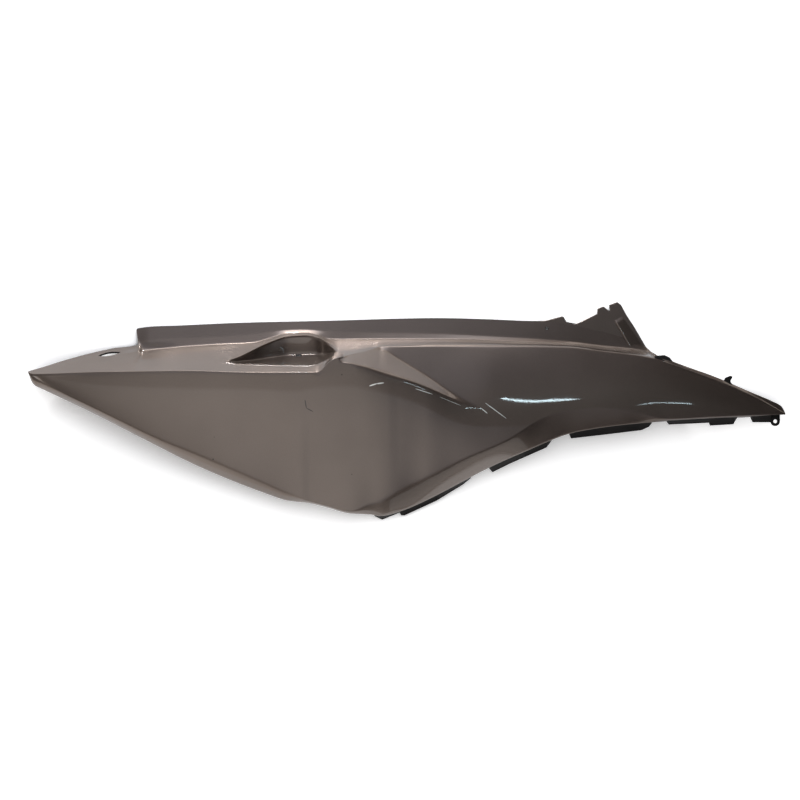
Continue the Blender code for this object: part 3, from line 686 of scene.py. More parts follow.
finish = {
    "dark": (0.118, 0.091, 0.076, 1.0),
    "light": (0.150, 0.118, 0.099, 1.0),
    "metallic": 0.8,
    "roughness": (0.30, 0.38),
    "coatRoughness": (0.025, 0.10),
    "flakeScale": 2600.0,
    "shadeNoise": (9.0, 3.0),  # scale and detail
    "speckNoise": (1500.0, 1.0),
    "filmNoise": (22.0, 5.0),
    "rippleNoise": (420.0, 1.0),
    "shadeRun": (0.3, 0.7),
    "speckRun": (0.70, 0.78),
    "filmRun": (0.42, 0.75),
    "wiped": (0.35, 1.0, 1.0),  # the film of dust is drawn out along the panel
    "dustShare": 0.5,
    "flakeShare": 0.4,
    "shadeShare": 0.6,
    "rippleStrength": 0.012,
    "rippleDepth": 0.0004,
    # The white of the painted highlight strokes, laid where tube reflections lie
    "paintedHighlightColour": (0.95, 0.97, 0.93, 1.0),
    "chipColour": (0.040, 0.033, 0.029, 1.0),
}

# Painted highlights (white strokes where tube reflections lie along the facet's creases) and chips, each
# stroke as start, end and width
marks = {
    "thinPower": 3.0,
    "thinShare": 0.6,
    "edgeRun": (0.25, 0.6),
    # Painted highlights: white strokes where tube reflections lie along the creases
    "paintedHighlights": (
        ((-0.0409, 0.0274), (-0.0330, 0.0299), 0.0016), ((-0.0332, 0.0298), (-0.0254, 0.0308), 0.0016),
        ((0.0092, 0.0244), (0.0275, 0.0185), 0.0010), ((0.0358, 0.0154), (0.0583, 0.0062), 0.0005),
        ((0.0860, 0.0086), (0.1084, -0.0079), 0.0010), ((0.0805, 0.0035), (0.0878, -0.0024), 0.0012),
    ),
    "chips": (
        ((-0.1112, 0.0121), (-0.1097, 0.0033), 0.0016), ((-0.1097, 0.0033), (-0.1027, -0.0004), 0.0014),
        ((-0.0713, 0.0396), (-0.0706, 0.0396), 0.0024), ((-0.2133, -0.0528), (-0.2124, -0.0530), 0.0024),
    ),
}


def chipAndHighlightStrokeGroup():
    # 1 on the straight line from Start to End as seen from above, 0 beyond its width, with thin ends
    inputs = [("Position", "NodeSocketVector"), ("Start", "NodeSocketVector"), ("End", "NodeSocketVector")]
    inputs.append(("Width", "NodeSocketFloat"))
    tree, into, out = newGroup("chipAndHighlightStroke", inputs, [("Mask", "NodeSocketFloat")])
    flat = vectorNode(tree, "MULTIPLY", into.outputs["Position"], (1.0, 1.0, 0.0))
    way = vectorNode(tree, "SUBTRACT", into.outputs["End"], into.outputs["Start"])
    off = vectorNode(tree, "SUBTRACT", flat, into.outputs["Start"])
    along = mathNode(tree, "DIVIDE", vectorNode(tree, "DOT_PRODUCT", off, way, "Value"),
                     vectorNode(tree, "DOT_PRODUCT", way, way, "Value"))
    share = rampNode(tree, along, 0.0, 1.0, kind="LINEAR")
    scaled = tree.nodes.new("ShaderNodeVectorMath")
    scaled.operation = "SCALE"
    tree.links.new(way, scaled.inputs[0])
    tree.links.new(share, scaled.inputs["Scale"])
    gap = vectorNode(tree, "DISTANCE", off, scaled.outputs[0], "Value")
    middle = mathNode(tree, "SUBTRACT", mathNode(tree, "MULTIPLY", share, 2.0), 1.0)
    outward = mathNode(tree, "POWER", mathNode(tree, "ABSOLUTE", middle), marks["thinPower"])
    thin = mathNode(tree, "SUBTRACT", 1.0, mathNode(tree, "MULTIPLY", outward, marks["thinShare"]))
    near = mathNode(tree, "DIVIDE", gap, mathNode(tree, "MULTIPLY", into.outputs["Width"], thin))
    tree.links.new(rampNode(tree, near, *marks["edgeRun"], 1.0, 0.0), out.inputs["Mask"])
    return tree


def paintGroup():
    # Fine flakes, a slow change of shade, wiped-on dust and the ripple of sprayed lacquer
    outputs = [(label, "NodeSocketFloat") for label in ("Flake", "Shade", "Dust", "Ripple")]
    tree, into, out = newGroup("sprayedPaint", [("Position", "NodeSocketVector")], outputs)
    place = into.outputs["Position"]
    cells = tree.nodes.new("ShaderNodeTexVoronoi")
    tree.links.new(place, cells.inputs["Vector"])
    cells.inputs["Scale"].default_value = finish["flakeScale"]
    parts = tree.nodes.new("ShaderNodeSeparateColor")
    tree.links.new(cells.outputs["Color"], parts.inputs[0])
    tree.links.new(parts.outputs[0], out.inputs["Flake"])
    shade = rampNode(tree, noiseNode(tree, place, *finish["shadeNoise"]), *finish["shadeRun"])
    tree.links.new(shade, out.inputs["Shade"])
    wiped = vectorNode(tree, "MULTIPLY", place, finish["wiped"])
    specks = rampNode(tree, noiseNode(tree, place, *finish["speckNoise"]), *finish["speckRun"])
    film = rampNode(tree, noiseNode(tree, wiped, *finish["filmNoise"]), *finish["filmRun"])
    specks = mathNode(tree, "MULTIPLY", specks, finish["dustShare"])
    film = mathNode(tree, "MULTIPLY", film, finish["dustShare"])
    tree.links.new(mathNode(tree, "ADD", film, specks), out.inputs["Dust"])
    tree.links.new(noiseNode(tree, place, *finish["rippleNoise"]), out.inputs["Ripple"])
    return tree


def markMask(tree, position, chipAndHighlightStroke, strokes):
    # The strongest of the strokes at each place
    masks = []
    for start, end, width in strokes:
        ends = {"Start": start + (0.0,), "End": end + (0.0,)}
        masks.append(useGroup(tree, chipAndHighlightStroke, Position=position, Width=width, **ends).outputs["Mask"])
    strongest = masks[0]
    for mask in masks[1:]:
        strongest = mathNode(tree, "MAXIMUM", strongest, mask)
    return strongest


def mixColour(tree, share, first, second):
    # From the first colour at share 0 to the second at 1; the node takes colours at 6 and 7
    node = tree.nodes.new("ShaderNodeMix")
    node.data_type = "RGBA"
    for socket, value in zip((node.inputs[0], node.inputs[6], node.inputs[7]), (share, first, second)):
        if isinstance(value, (int, float, tuple)):
            socket.default_value = value
        else:
            tree.links.new(value, socket)
    return node.outputs[2]


def paintMaterial():
    # Metallic base coat with flakes, chips and painted highlight strokes in its colour, under a clear coat
    # with dust
    material, tree, shader = newMaterial("taupePaint")
    place = objectPlace(tree)
    detail = useGroup(tree, paintGroup(), Position=place)
    chipAndHighlightStroke = chipAndHighlightStrokeGroup()
    paintedHighlights = markMask(tree, place, chipAndHighlightStroke, marks["paintedHighlights"])
    chips = markMask(tree, place, chipAndHighlightStroke, marks["chips"])
    blend = mathNode(tree, "ADD", mathNode(tree, "MULTIPLY", detail.outputs["Flake"], finish["flakeShare"]),
                     mathNode(tree, "MULTIPLY", detail.outputs["Shade"], finish["shadeShare"]))
    colour = mixColour(tree, blend, finish["dark"], finish["light"])
    colour = mixColour(tree, chips, colour, finish["chipColour"])
    # Painted highlights: white strokes laid into the base colour where tube reflections lie on the creases
    colour = mixColour(tree, paintedHighlights, colour, finish["paintedHighlightColour"])
    tree.links.new(colour, shader.inputs["Base Color"])
    shader.inputs["Metallic"].default_value = finish["metallic"]
    flaked = rampNode(tree, detail.outputs["Flake"], 0.0, 1.0, *finish["roughness"])
    tree.links.new(flaked, shader.inputs["Roughness"])
    shader.inputs["Coat Weight"].default_value = 1.0
    dusty = rampNode(tree, detail.outputs["Dust"], 0.0, 1.0, *finish["coatRoughness"])
    tree.links.new(dusty, shader.inputs["Coat Roughness"])
    ripple = bumpNode(tree, detail.outputs["Ripple"], finish["rippleStrength"], finish["rippleDepth"])
    tree.links.new(ripple, shader.inputs["Coat Normal"])
    return material


mould = {
    "dark": (0.009, 0.0083, 0.0080, 1.0),
    "light": (0.014, 0.0130, 0.0125, 1.0),
    "grainNoise": (1800.0, 2.0),  # scale and detail
    "grainStrength": 0.25,
    "grainDepth": 0.0002,
    "flowNoise": (30.0, 4.0),
    "flowRun": (0.35, 0.7),
    "roughness": (0.42, 0.58),
    "specular": 0.22,
}


def plasticMaterial():
    # Matt black plastic with a fine grain and slow changes where it flowed into the mould
    material, tree, shader = newMaterial("blackPlastic")
    place = objectPlace(tree)
    flow = rampNode(tree, noiseNode(tree, place, *mould["flowNoise"]), *mould["flowRun"])
    tree.links.new(mixColour(tree, flow, mould["dark"], mould["light"]), shader.inputs["Base Color"])
    tree.links.new(rampNode(tree, flow, 0.0, 1.0, *mould["roughness"]), shader.inputs["Roughness"])
    shader.inputs["Specular IOR Level"].default_value = mould["specular"]
    grain = noiseNode(tree, place, *mould["grainNoise"])
    bump = bumpNode(tree, grain, mould["grainStrength"], mould["grainDepth"])
    tree.links.new(bump, shader.inputs["Normal"])
    return material


def skinProfile(outer, x):
    # The painted face at one x, as rising y and its height
    across = np.array([np.interp(x, outer[0, :, 0], row) for row in outer[..., 1]])
    height = np.array([np.interp(x, outer[0, :, 0], row) for row in outer[..., 2]])
    return across[::-1], height[::-1]


lips = {
    "wall": 0.0022,
    "inset": 0.003,
    "sink": 0.0016,
    "step": 0.0012,
    "rimClear": 0.0002,
    "rimSteps": 7,
    "bendShare": 0.3,  # how much of the drop comes before the panel's edge
    "sharpFrom": 35,
    "lines": {
        "front": (
            (-0.0360, -0.1162, 0.0040), (-0.0275, -0.1204, 0.0000), (-0.0187, -0.1168, 0.0005),
            (-0.0079, -0.1124, 0.0030), (-0.0066, -0.1155, 0.0015), (-0.0028, -0.1157, 0.0015),
            (0.0324, -0.0995, 0.0030), (0.0619, -0.0814, 0.0060), (0.0709, -0.0739, 0.0090),
        ),
        "arch": (
            (0.0908, -0.0634, 0.0120), (0.0944, -0.0678, 0.0090), (0.1133, -0.0583, 0.0130),
            (0.1535, -0.0403, 0.0210), (0.1590, -0.0328, 0.0250),
        ),
        "rear": (
            (0.1784, -0.0257, 0.0260), (0.1804, -0.0303, 0.0230), (0.2123, -0.0267, 0.0230),
            (0.2585, -0.0211, 0.0220), (0.2662, -0.0174, 0.0230), (0.2691, -0.0136, 0.0250),
        ),
        "tail": (
            (0.2858, -0.0123, 0.0240), (0.2882, -0.0150, 0.0220), (0.3322, -0.0130, 0.0210),
            (0.3336, -0.0161, 0.0190), (0.3594, -0.0147, 0.0190), (0.3629, -0.0081, 0.0220),
        ),
        "end": ((0.3780, -0.0077, 0.0220), (0.3806, -0.0125, 0.0190), (0.4004, -0.0125, 0.0190)),
    },
}


def makeLip(name, line, outer, material):
    # A flat bar's profile carried along the lip: root inside the wall, half-round outer rim
    knots = np.array(line)
    x = np.unique(np.concatenate([np.arange(knots[0, 0], knots[-1, 0], lips["step"]), knots[:, 0]]))
    reach = np.interp(x, knots[:, 0], knots[:, 1])
    foot = np.interp(x, knots[:, 0], knots[:, 2])
    edge = np.interp(x, outer[-1, :, 0], outer[-1, :, 1])
    rootY = edge + lips["inset"]
    profiles = [skinProfile(outer, place) for place in x]
    rootTop = np.array([np.interp(y, *profile) for y, profile in zip(rootY, profiles)]) - lips["sink"]
    half = lips["wall"] / 2
    rimY = np.minimum(reach + half, edge - lips["rimClear"])
    rimZ = np.maximum(np.minimum(foot + half, rootTop - half), half)
    bendY = np.minimum(edge, rootY)
    bendZ = rootTop - half - (rootTop - half - rimZ) * lips["bendShare"]
    turns = np.linspace(90, 270, lips["rimSteps"]) * math.pi / 180
    ring = [(rootY, rootTop), (bendY, bendZ + half)]
    ring += [(rimY + half * math.cos(turn), rimZ + half * math.sin(turn)) for turn in turns]
    ring += [(bendY, bendZ - half), (rootY, rootTop - 2 * half)]
    loops = np.stack([np.stack([x, y, np.maximum(z, 0.0)], axis=-1) for y, z in ring], axis=1)
    piece = loopGrid(name, loops, (material, material), len(ring))
    softEdges(piece, lips["sharpFrom"])
    keep(piece)


rounding = {
    "segments": 2,
    "bevelFrom": 30,
    "sharpFrom": 35,
}


def bevelled(piece, width, material):
    # Rounds the edges at which two faces turn by more than bevelFrom degrees
    piece.data.materials.append(material)
    step = piece.modifiers.new("roundedEdges", "BEVEL")
    step.width = width
    step.segments = rounding["segments"]
    step.limit_method = "ANGLE"
    step.angle_limit = math.radians(rounding["bevelFrom"])
    softEdges(piece, rounding["sharpFrom"])
    keep(piece)


bracket = {
    "thickness": 0.0030,
    "outline": (
        (0.1480, 0.0950), (0.1450, 0.0985), (0.1560, 0.1005), (0.1650, 0.1030),
        (0.1719, 0.1048), (0.1735, 0.1042), (0.1758, 0.0994), (0.1782, 0.0966),
        (0.1831, 0.0957), (0.1888, 0.0970), (0.2107, 0.1074), (0.2107, 0.1131),
        (0.2175, 0.1157), (0.2248, 0.1095), (0.2237, 0.1173), (0.2328, 0.1205),
        (0.2369, 0.1173), (0.2432, 0.1057), (0.2519, 0.0925), (0.2640, 0.0716),
        (0.2689, 0.0648), (0.2676, 0.0630), (0.2590, 0.0670), (0.2123, 0.0770),
        (0.1848, 0.0825), (0.1683, 0.0890),
    ),
    "bevel": 0.0005,
    "underFrom": -0.5,  # faces whose normal points down more than this are underneath
    "ridgeStart": (0.2307, 0.1004),
    "ridgeEnd": (0.2492, 0.0680),
    "ridgeSteps": 30,
    "ridgeHeight": 0.0014,
    "ridgeSwell": 0.10,  # the share of its length over which it swells
    "ridgeSink": 0.0008,
    "ridgeSkim": 0.0001,
    "ridgeNear": 0.0022,
    "ridgeFar": (0.0085, 0.0120),
    "ridgeProfile": ((-1.0, 0.0), (-0.55, 0.62), (-0.2, 0.93), (0.0, 1.0), (0.4, 0.97)),
    "sharpFrom": 50,
}


def makeBracket(material, underside):
    # A flat plate with rounded edges; its downward faces take the underside's material
    piece = prism("topBracket", np.array(bracket["outline"]), 0.0, bracket["thickness"])
    bevelled(piece, bracket["bevel"], material)
    piece.data.materials.append(underside)
    faces = piece.data.polygons
    normals = np.empty(3 * len(faces), np.float32)
    faces.foreach_get("normal", normals)
    faces.foreach_set("material_index", (normals[2::3] < bracket["underFrom"]).astype(np.int32))
    makeRidge(material)


def makeRidge(material):
    # A low triangle's profile carried from the ridge's start to its end, swelling from nothing
    share = np.linspace(0, 1, bracket["ridgeSteps"])
    first, last = np.array(bracket["ridgeStart"]), np.array(bracket["ridgeEnd"])
    way = (last - first) / np.linalg.norm(last - first)
    side = np.array([-way[1], way[0]])
    middle = first + share[:, None] * (last - first)
    swell = np.minimum(1.0, share / bracket["ridgeSwell"]) * bracket["ridgeHeight"]
    far = middle + side * np.interp(share, (0, 1), bracket["ridgeFar"])[:, None]
    sink, foot = bracket["ridgeSink"], bracket["thickness"] - bracket["ridgeSink"]
    loops = []
    for out, rise in bracket["ridgeProfile"]:
        height = foot + sink * (rise > 0) + swell * rise
        loops.append(np.column_stack([middle + side * (bracket["ridgeNear"] * out), height]))
    loops.append(np.column_stack([far, np.full(len(share), bracket["thickness"] + bracket["ridgeSkim"])]))
    loops.append(np.column_stack([far, np.full(len(share), foot)]))
    ridge = loopGrid("bracketRidge", np.stack(loops, axis=1), (material, material), len(loops))
    softEdges(ridge, bracket["sharpFrom"])
    keep(ridge)


tabs = {
    "topLug": {
        "outline": ((0.2706, 0.0567), (0.2728, 0.0606), (0.2827, 0.0615), (0.2882, 0.0589),
                    (0.2926, 0.0536), (0.2871, 0.0506)),
        "foot": 0.0290, "thickness": 0.0040, "bevel": 0.0006,
    },
    "tailHook": {
        "outline": ((0.3465, 0.0297), (0.3495, 0.0365), (0.3551, 0.0388), (0.3578, 0.0377),
                    (0.3551, 0.0327), (0.3573, 0.0292), (0.3531, 0.0259)),
        "foot": 0.0275, "thickness": 0.0040, "bevel": 0.0006,
    },
}

ear = {
    "centre": (0.4054, -0.0114),
    "diameter": 0.0104,
    "hole": 0.0042,
    "face": 0.0225,
    "thickness": 0.0030,
    "reach": 0.0095,
    "round": 0.0004,
    "roundShare": 0.3,
    "steps": 96,
    "sharpFrom": 40,
}


def makeEar(material):
    # Rings around the hole: the outer radius is a half circle below and a rectangle above
    turns = 2 * math.pi * np.arange(ear["steps"]) / ear["steps"]
    radius = ear["diameter"] / 2
    up = np.sin(turns) > 0
    sideways = radius / np.maximum(np.abs(np.cos(turns)), 1e-9)
    upward = ear["reach"] / np.maximum(np.sin(turns), 1e-9)
    outer = np.where(up, np.minimum(sideways, upward), radius)
    inner = np.full(len(turns), ear["hole"] / 2)
    top, foot, r = ear["face"], ear["face"] - ear["thickness"], ear["round"]
    corner = ear["roundShare"] * r
    ring = [(inner + r, top), (outer - r, top), (outer - corner, top - corner), (outer, top - r),
            (outer, foot + r), (outer - r, foot), (inner + r, foot), (inner, foot + r), (inner, top - r)]
    spin = np.column_stack([np.cos(turns), np.sin(turns)])
    loops = []
    for span, z in ring:
        loops.append(np.column_stack([spin * span[:, None] + ear["centre"], np.full(len(turns), z)]))
    piece = closedGrid("screwEar", np.stack(loops, axis=1), material)
    softEdges(piece, ear["sharpFrom"])
    keep(piece)


posts = {
    "places": ((-0.2112, -0.0290), (-0.0605, -0.0700)),
    "diameter": 0.0100,
    "bore": 0.0042,
    "mouth": 0.0003,
    "round": 0.0004,
    "flare": 0.0001,
    "core": 0.00001,
    "foot": 0.0120,
    "floor": 0.0040,
    "sink": 0.0012,
    "steps": 64,
    "sharpFrom": 40,
}


def makePost(name, centre, inner, material):
    # A hollow cylinder turned about the screw's axis, its head following the inner face
    turns = 2 * math.pi * np.arange(posts["steps"]) / posts["steps"]
    spin = np.column_stack([np.cos(turns), np.sin(turns)])
    radius, bore = posts["diameter"] / 2, posts["bore"] / 2
    rim = spin * radius + centre
    head = np.array([np.interp(y, *skinProfile(inner, x)) for x, y in rim]) + posts["sink"]
    foot = np.full(len(turns), posts["foot"])
    floor = np.full(len(turns), head.min() - posts["sink"] - posts["floor"])
    mouth, edge, core = posts["mouth"], posts["round"], posts["core"]
    ring = [(bore + mouth, foot), (radius - edge, foot), (radius, foot + edge)]
    ring += [(radius + posts["flare"], head), (core, head), (core, floor)]
    ring += [(bore, floor), (bore, foot + mouth)]
    loops = [np.column_stack([spin * span + centre, z]) for span, z in ring]
    piece = closedGrid(name, np.stack(loops, axis=1), material)
    softEdges(piece, posts["sharpFrom"])
    keep(piece)


paint = paintMaterial()
plastic = plasticMaterial()
outerGrid, innerGrid = skinGrids()
panelSkin = makeSkin(outerGrid, innerGrid, paint, plastic)
print("skin", len(panelSkin.data.polygons), "faces")
cutHoles(panelSkin, [
    (lensOutline(holes["noseSlot"]), holes["noseSlot"]["lean"]),
    (circleOutline(holes["flangeHole"]["centre"], holes["flangeHole"]["diameter"]), 0.0),
    (slotOutline(holes["drain"]), 0.0),
], plastic)
softEdges(panelSkin, skin["sharpFrom"])
keep(panelSkin)
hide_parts("side_panel")
print("holes cut", len(panelSkin.data.polygons), "faces")
for lipName, lipLine in lips["lines"].items():
    makeLip(lipName + "Lip", lipLine, outerGrid, plastic)
makeBracket(paint, plastic)
for tabName, tab in tabs.items():
    solid = prism(tabName, np.array(tab["outline"]), tab["foot"], tab["foot"] + tab["thickness"])
    bevelled(solid, tab["bevel"], plastic)
makeEar(plastic)
for number, place in enumerate(posts["places"]):
    makePost("screwPost" + str(number + 1), place, innerGrid, plastic)
print("lips, bracket, tabs and posts made")

view = {
    "lens": 150.0,
    "sensor": 36.0,
    "pixel": 0.0011,  # metres of panel for one pixel of the photograph
    "imageSize": 800,
    "middle": (-0.0077, 0.0121, 0.025),
    "clipEnd": 50.0,
}


def makeCamera():
    # So far up that the picture's width at the panel is its pixels times the size of one
    width = view["pixel"] * view["imageSize"]
    distance = width / 2 / (view["sensor"] / 2 / view["lens"])
    lens = bpy.data.cameras.new("photoCamera")
    lens.lens = view["lens"]
    lens.sensor_width = view["sensor"]
    lens.clip_end = view["clipEnd"]
    camera = bpy.data.objects.new("photoCamera", lens)
    bpy.context.collection.objects.link(camera)
    camera.location = (view["middle"][0], view["middle"][1], view["middle"][2] + distance)
    bpy.context.scene.camera = camera


ground = {
    "size": 12.0,
    "roughness": 0.6,
    # The dark colour is painted contact shade where the panel nearly touches the floor
    "colours": ((0.008, 0.008, 0.008, 1.0), (0.9, 0.9, 0.9, 1.0)),  # where the panel touches, and open
    "skySamples": 6,
    "closeShadow": 0.26,
    "closeOpen": (0.74, 1.0),  # where this much of the sky is free, the floor is plain white
    # Painted shadow: close to the panel the floor's glow for the camera is held below white, deeper at the
    # left
    "glowRun": (-0.30, 0.10),
    "glow": (0.33, 0.68),  # from left to right, close to the panel
    "farSide": (0.052, 0.075),  # the shadow is weaker beyond this line across the floor
    "farSlant": 0.10,
    "farLift": 0.7,
    "touchShadow": 0.010,
    "touchOpen": (0.25, 0.65),
    # A painted patch of light on the floor under the nose slot
    "slotRun": (0.0045, 0.0066),  # daylight under the nose slot
    "paintedSlotGlow": 0.55,
    "slotShape": (0.45, 1.0, 0.0),
    "mirroredRun": (-0.06, 0.04),
    "mirroredGlow": (0.72, 0.26),  # below and above the panel
    "mirroredFall": (0.14, 0.34, 1.0, 0.12),
}


def openSky(tree, distance):
    # The share of the sky above the floor that is free within this distance
    node = tree.nodes.new("ShaderNodeAmbientOcclusion")
    node.samples = ground["skySamples"]
    node.inputs["Distance"].default_value = distance
    return node.outputs["AO"]


def brighter(tree, light, extra):
    # light + extra * (1 - light), which never passes 1
    rest = mathNode(tree, "SUBTRACT", 1.0, light)
    return mathNode(tree, "ADD", light, mathNode(tree, "MULTIPLY", extra, rest))


def makeFloor():
    # White where it is open; its glow and colour are darkened as painted shadow in the holes and close
    # under the panel, and a painted patch of light brightens it under the nose slot
    size = ground["size"]
    corners = np.array([(-size, -size, 0.0), (size, -size, 0.0), (size, size, 0.0), (-size, size, 0.0)])
    floor = meshFrom("floor", corners, np.array([[0, 1, 2, 3]]))
    material, tree, shader = newMaterial("paleFloor")
    shader.inputs["Roughness"].default_value = ground["roughness"]
    shader.inputs["Specular IOR Level"].default_value = 0.0
    shader.inputs["Emission Color"].default_value = (1.0, 1.0, 1.0, 1.0)
    rays = tree.nodes.new("ShaderNodeLightPath")
    parts = splitNode(tree, objectPlace(tree))
    # Painted shadow: the camera's glow falls where the panel hides the sky above the floor
    free = openSky(tree, ground["closeShadow"])
    close = rampNode(tree, parts["X"], *ground["glowRun"], *ground["glow"])
    close = mathNode(tree, "MULTIPLY", close, free)
    glow = brighter(tree, close, rampNode(tree, free, *ground["closeOpen"]))
    across = mathNode(tree, "ADD", parts["Y"], mathNode(tree, "MULTIPLY", parts["X"], ground["farSlant"]))
    glow = brighter(tree, glow, rampNode(tree, across, *ground["farSide"], 0.0, ground["farLift"]))
    seen = mathNode(tree, "MULTIPLY", rays.outputs["Is Camera Ray"], glow)
    # Painted contact shade: the floor's colour and glow darken where the panel nearly covers it
    paintedContactShade = rampNode(tree, openSky(tree, ground["touchShadow"]), *ground["touchOpen"])
    tree.links.new(mixColour(tree, paintedContactShade, *ground["colours"]), shader.inputs["Base Color"])
    seen = mathNode(tree, "MULTIPLY", seen, paintedContactShade)
    # A painted patch of light under the nose slot, seen by the camera only
    paintedSlotLight = mathNode(tree, "MULTIPLY", rays.outputs["Is Camera Ray"], paintedSlotGlow(tree))
    seen = mathNode(tree, "ADD", seen, paintedSlotLight)
    bounced = rampNode(tree, parts["Y"], *ground["mirroredRun"], *ground["mirroredGlow"])
    bounced = mathNode(tree, "MULTIPLY", bounced, rampNode(tree, parts["X"], *ground["mirroredFall"]))
    mirrored = mathNode(tree, "MULTIPLY", rays.outputs["Is Glossy Ray"], bounced)
    tree.links.new(mathNode(tree, "ADD", seen, mirrored), shader.inputs["Emission Strength"])
    floor.data.materials.append(material)


def paintedSlotGlow(tree):
    # A painted patch of light on the floor under the nose slot, as a soft ellipse
    off = vectorNode(tree, "SUBTRACT", objectPlace(tree), (*holes["noseSlot"]["centre"], 0.0))
    squeezed = vectorNode(tree, "MULTIPLY", off, ground["slotShape"])
    gap = vectorNode(tree, "LENGTH", squeezed, output="Value")
    return rampNode(tree, gap, *ground["slotRun"], ground["paintedSlotGlow"], 0.0)


lamps = {
    "softWindow": {
        "place": (-0.7, 1.1, 1.0), "target": (-0.15, 0.0, 0.0), "size": (2.2, 1.1), "power": 4.2,
    },
    "shoulderLamp": {
        "place": (-0.215, 1.15, 0.36), "target": (-0.14, 0.05, 0.03), "size": (0.092, 0.12), "power": 9.0,
    },
    "lowLamp": {
        "place": (0.86, -1.33, 0.28), "target": (0.02, -0.085, 0.02), "size": (1.2, 0.5), "power": 0.9,
    },
}


def makeLamp(name, place, target, size, power, colour=(1.0, 1.0, 1.0)):
    # A glowing rectangle that faces its target, with power in watts
    data = bpy.data.lights.new(name, "AREA")
    data.shape = "RECTANGLE"
    data.size, data.size_y = size
    data.energy = power
    data.color = colour
    lamp = bpy.data.objects.new(name, data)
    bpy.context.collection.objects.link(lamp)
    lamp.location = place
    aim = np.array(target) - np.array(place)
    lamp.rotation_euler = Vector(aim.tolist()).to_track_quat("-Z", "Y").to_euler()
    lamp.visible_camera = False
    return lamp


# Each tube lamp as start, end, width and power
tubes = {
    "height": 0.95,
    "colour": (0.72, 0.92, 1.0),
    "runs": (
        ((0.253, 0.100), (0.2965, -0.010), 0.005, 0.055),
        ((0.402, -0.160), (0.468, -0.150), 0.010, 0.036),
    ),
}


def makeTube(name, start, end, width, power):
    # A thin strip lamp from start to end, facing straight down
    first, last = np.array(start), np.array(end)
    middle = (first + last) / 2
    way = last - first
    size = (float(np.linalg.norm(way)), width)
    place, target = (*middle.tolist(), tubes["height"]), (*middle.tolist(), 0.0)
    lamp = makeLamp(name, place, target, size, power, tubes["colour"])
    lamp.rotation_euler = (0.0, 0.0, math.atan2(way[1], way[0]))


studio = {
    "sideRun": (-0.50, 0.36),
    "sideLevels": (1.3, 0.08),  # low down all round, from left to right
    "backRun": (0.3, 0.9),
    "backLevel": 1.4,
    "worldColour": (1.0, 0.93, 0.87, 1.0),
    "lowBand": (0.32, 0.48),  # higher up the ceiling takes over
}

ceiling = {
    "height": 1.0,
    "size": 3.0,
    "leftRise": (-1.00, -0.45),
    "rightFall": (-0.13, 0.48),
    "leftLevel": 0.25,
    "level": 1.22,
    "rightLevel": 0.03,
    "patchNear": (-0.29, -0.24),  # a darker patch lies between these y
    "patchFar": (0.80, 1.40),
    "nearShares": (0.64, 0.28),
    "farShares": (0.46, 0.50),
    "shareStep": (-0.05, 0.25),
    "shareRun": (0.0, 0.20),
    "backLift": 0.8,
    "coolFrom": (0.0, 0.35),
    "warm": (1.0, 0.975, 0.955, 1.0),
    "cool": (0.93, 0.98, 1.12, 1.0),
}


def makeWorld():
    # Grey surroundings whose level depends on direction only, white where the camera sees them
    world = bpy.data.worlds.new("studio")
    bpy.context.scene.world = world
    world.use_nodes = True
    tree = world.node_tree
    links = tree.links
    parts = splitNode(tree, tree.nodes.new("ShaderNodeTexCoord").outputs["Generated"])
    level = rampNode(tree, parts["X"], *studio["sideRun"], *studio["sideLevels"])
    behind = rampNode(tree, parts["Y"], *studio["backRun"], 0.0, studio["backLevel"])
    low = rampNode(tree, parts["Z"], *studio["lowBand"], 1.0, 0.0)
    level = mathNode(tree, "MULTIPLY", mathNode(tree, "ADD", level, behind), low)
    back = tree.nodes["Background"]
    back.inputs["Color"].default_value = studio["worldColour"]
    links.new(level, back.inputs["Strength"])
    white = tree.nodes.new("ShaderNodeBackground")
    white.inputs["Color"].default_value = (1.0, 1.0, 1.0, 1.0)
    rays = tree.nodes.new("ShaderNodeLightPath")
    mix = tree.nodes.new("ShaderNodeMixShader")
    links.new(rays.outputs["Is Camera Ray"], mix.inputs[0])
    links.new(back.outputs[0], mix.inputs[1])
    links.new(white.outputs[0], mix.inputs[2])
    links.new(mix.outputs[0], tree.nodes["World Output"].inputs["Surface"])


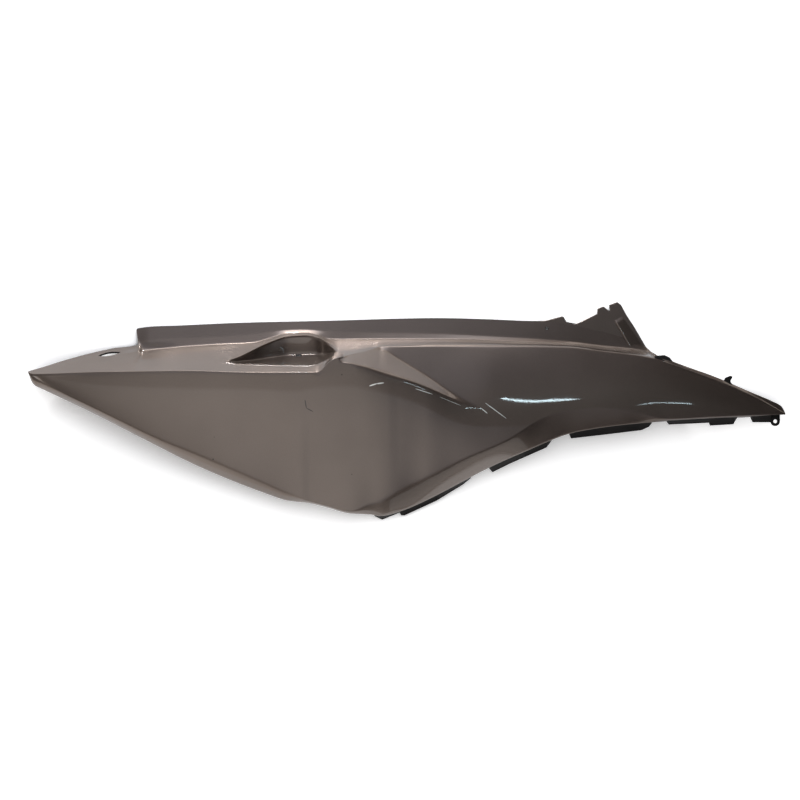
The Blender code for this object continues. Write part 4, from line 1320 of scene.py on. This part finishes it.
def makeCeiling():
    # A glowing sheet above the panel, dimmer to the right, that the lacquer mirrors
    size, up = ceiling["size"], ceiling["height"]
    corners = np.array([(-size, -size, up), (-size, size, up), (size, size, up), (size, -size, up)])
    sheet = meshFrom("ceiling", corners, np.array([[0, 1, 2, 3]]))
    material, tree, shader = newMaterial("ceilingGlow")
    tree.nodes.remove(shader)
    parts = splitNode(tree, objectPlace(tree))
    x, y = parts["X"], parts["Y"]
    level = rampNode(tree, x, *ceiling["leftRise"], ceiling["leftLevel"], ceiling["level"])
    fall = rampNode(tree, x, *ceiling["rightFall"], 1.0, ceiling["rightLevel"])
    level = mathNode(tree, "MULTIPLY", level, fall)
    patch = mathNode(tree, "MULTIPLY", rampNode(tree, y, *ceiling["patchNear"]),
                     rampNode(tree, y, *ceiling["patchFar"], 1.0, 0.0))
    nearShare = rampNode(tree, x, *ceiling["shareRun"], *ceiling["nearShares"])
    farShare = rampNode(tree, x, *ceiling["shareRun"], *ceiling["farShares"])
    beyond = rampNode(tree, y, *ceiling["shareStep"])
    step = mathNode(tree, "MULTIPLY", beyond, mathNode(tree, "SUBTRACT", farShare, nearShare))
    depth = mathNode(tree, "SUBTRACT", 1.0, mathNode(tree, "ADD", nearShare, step))
    shaded = mathNode(tree, "SUBTRACT", 1.0, mathNode(tree, "MULTIPLY", patch, depth))
    level = mathNode(tree, "MULTIPLY", level, shaded)
    lift = rampNode(tree, y, *ceiling["patchFar"], 1.0, 1.0 + ceiling["backLift"])
    level = mathNode(tree, "MULTIPLY", level, lift)
    coolness = mathNode(tree, "MAXIMUM", rampNode(tree, x, *ceiling["coolFrom"]),
                        rampNode(tree, y, *ceiling["coolFrom"]))
    glow = tree.nodes.new("ShaderNodeEmission")
    tree.links.new(mixColour(tree, coolness, ceiling["warm"], ceiling["cool"]), glow.inputs["Color"])
    tree.links.new(level, glow.inputs["Strength"])
    tree.links.new(glow.outputs[0], tree.nodes["Material Output"].inputs["Surface"])
    sheet.data.materials.append(material)
    sheet.visible_camera = False
    sheet.visible_shadow = False


makeCamera()
makeFloor()
makeWorld()
makeCeiling()
for lampName, lamp in lamps.items():
    makeLamp(lampName, **lamp)
for number, tube in enumerate(tubes["runs"]):
    makeTube("tube" + str(number + 1), *tube)
bpy.context.scene.view_settings.view_transform = "Standard"
print("stage ready")
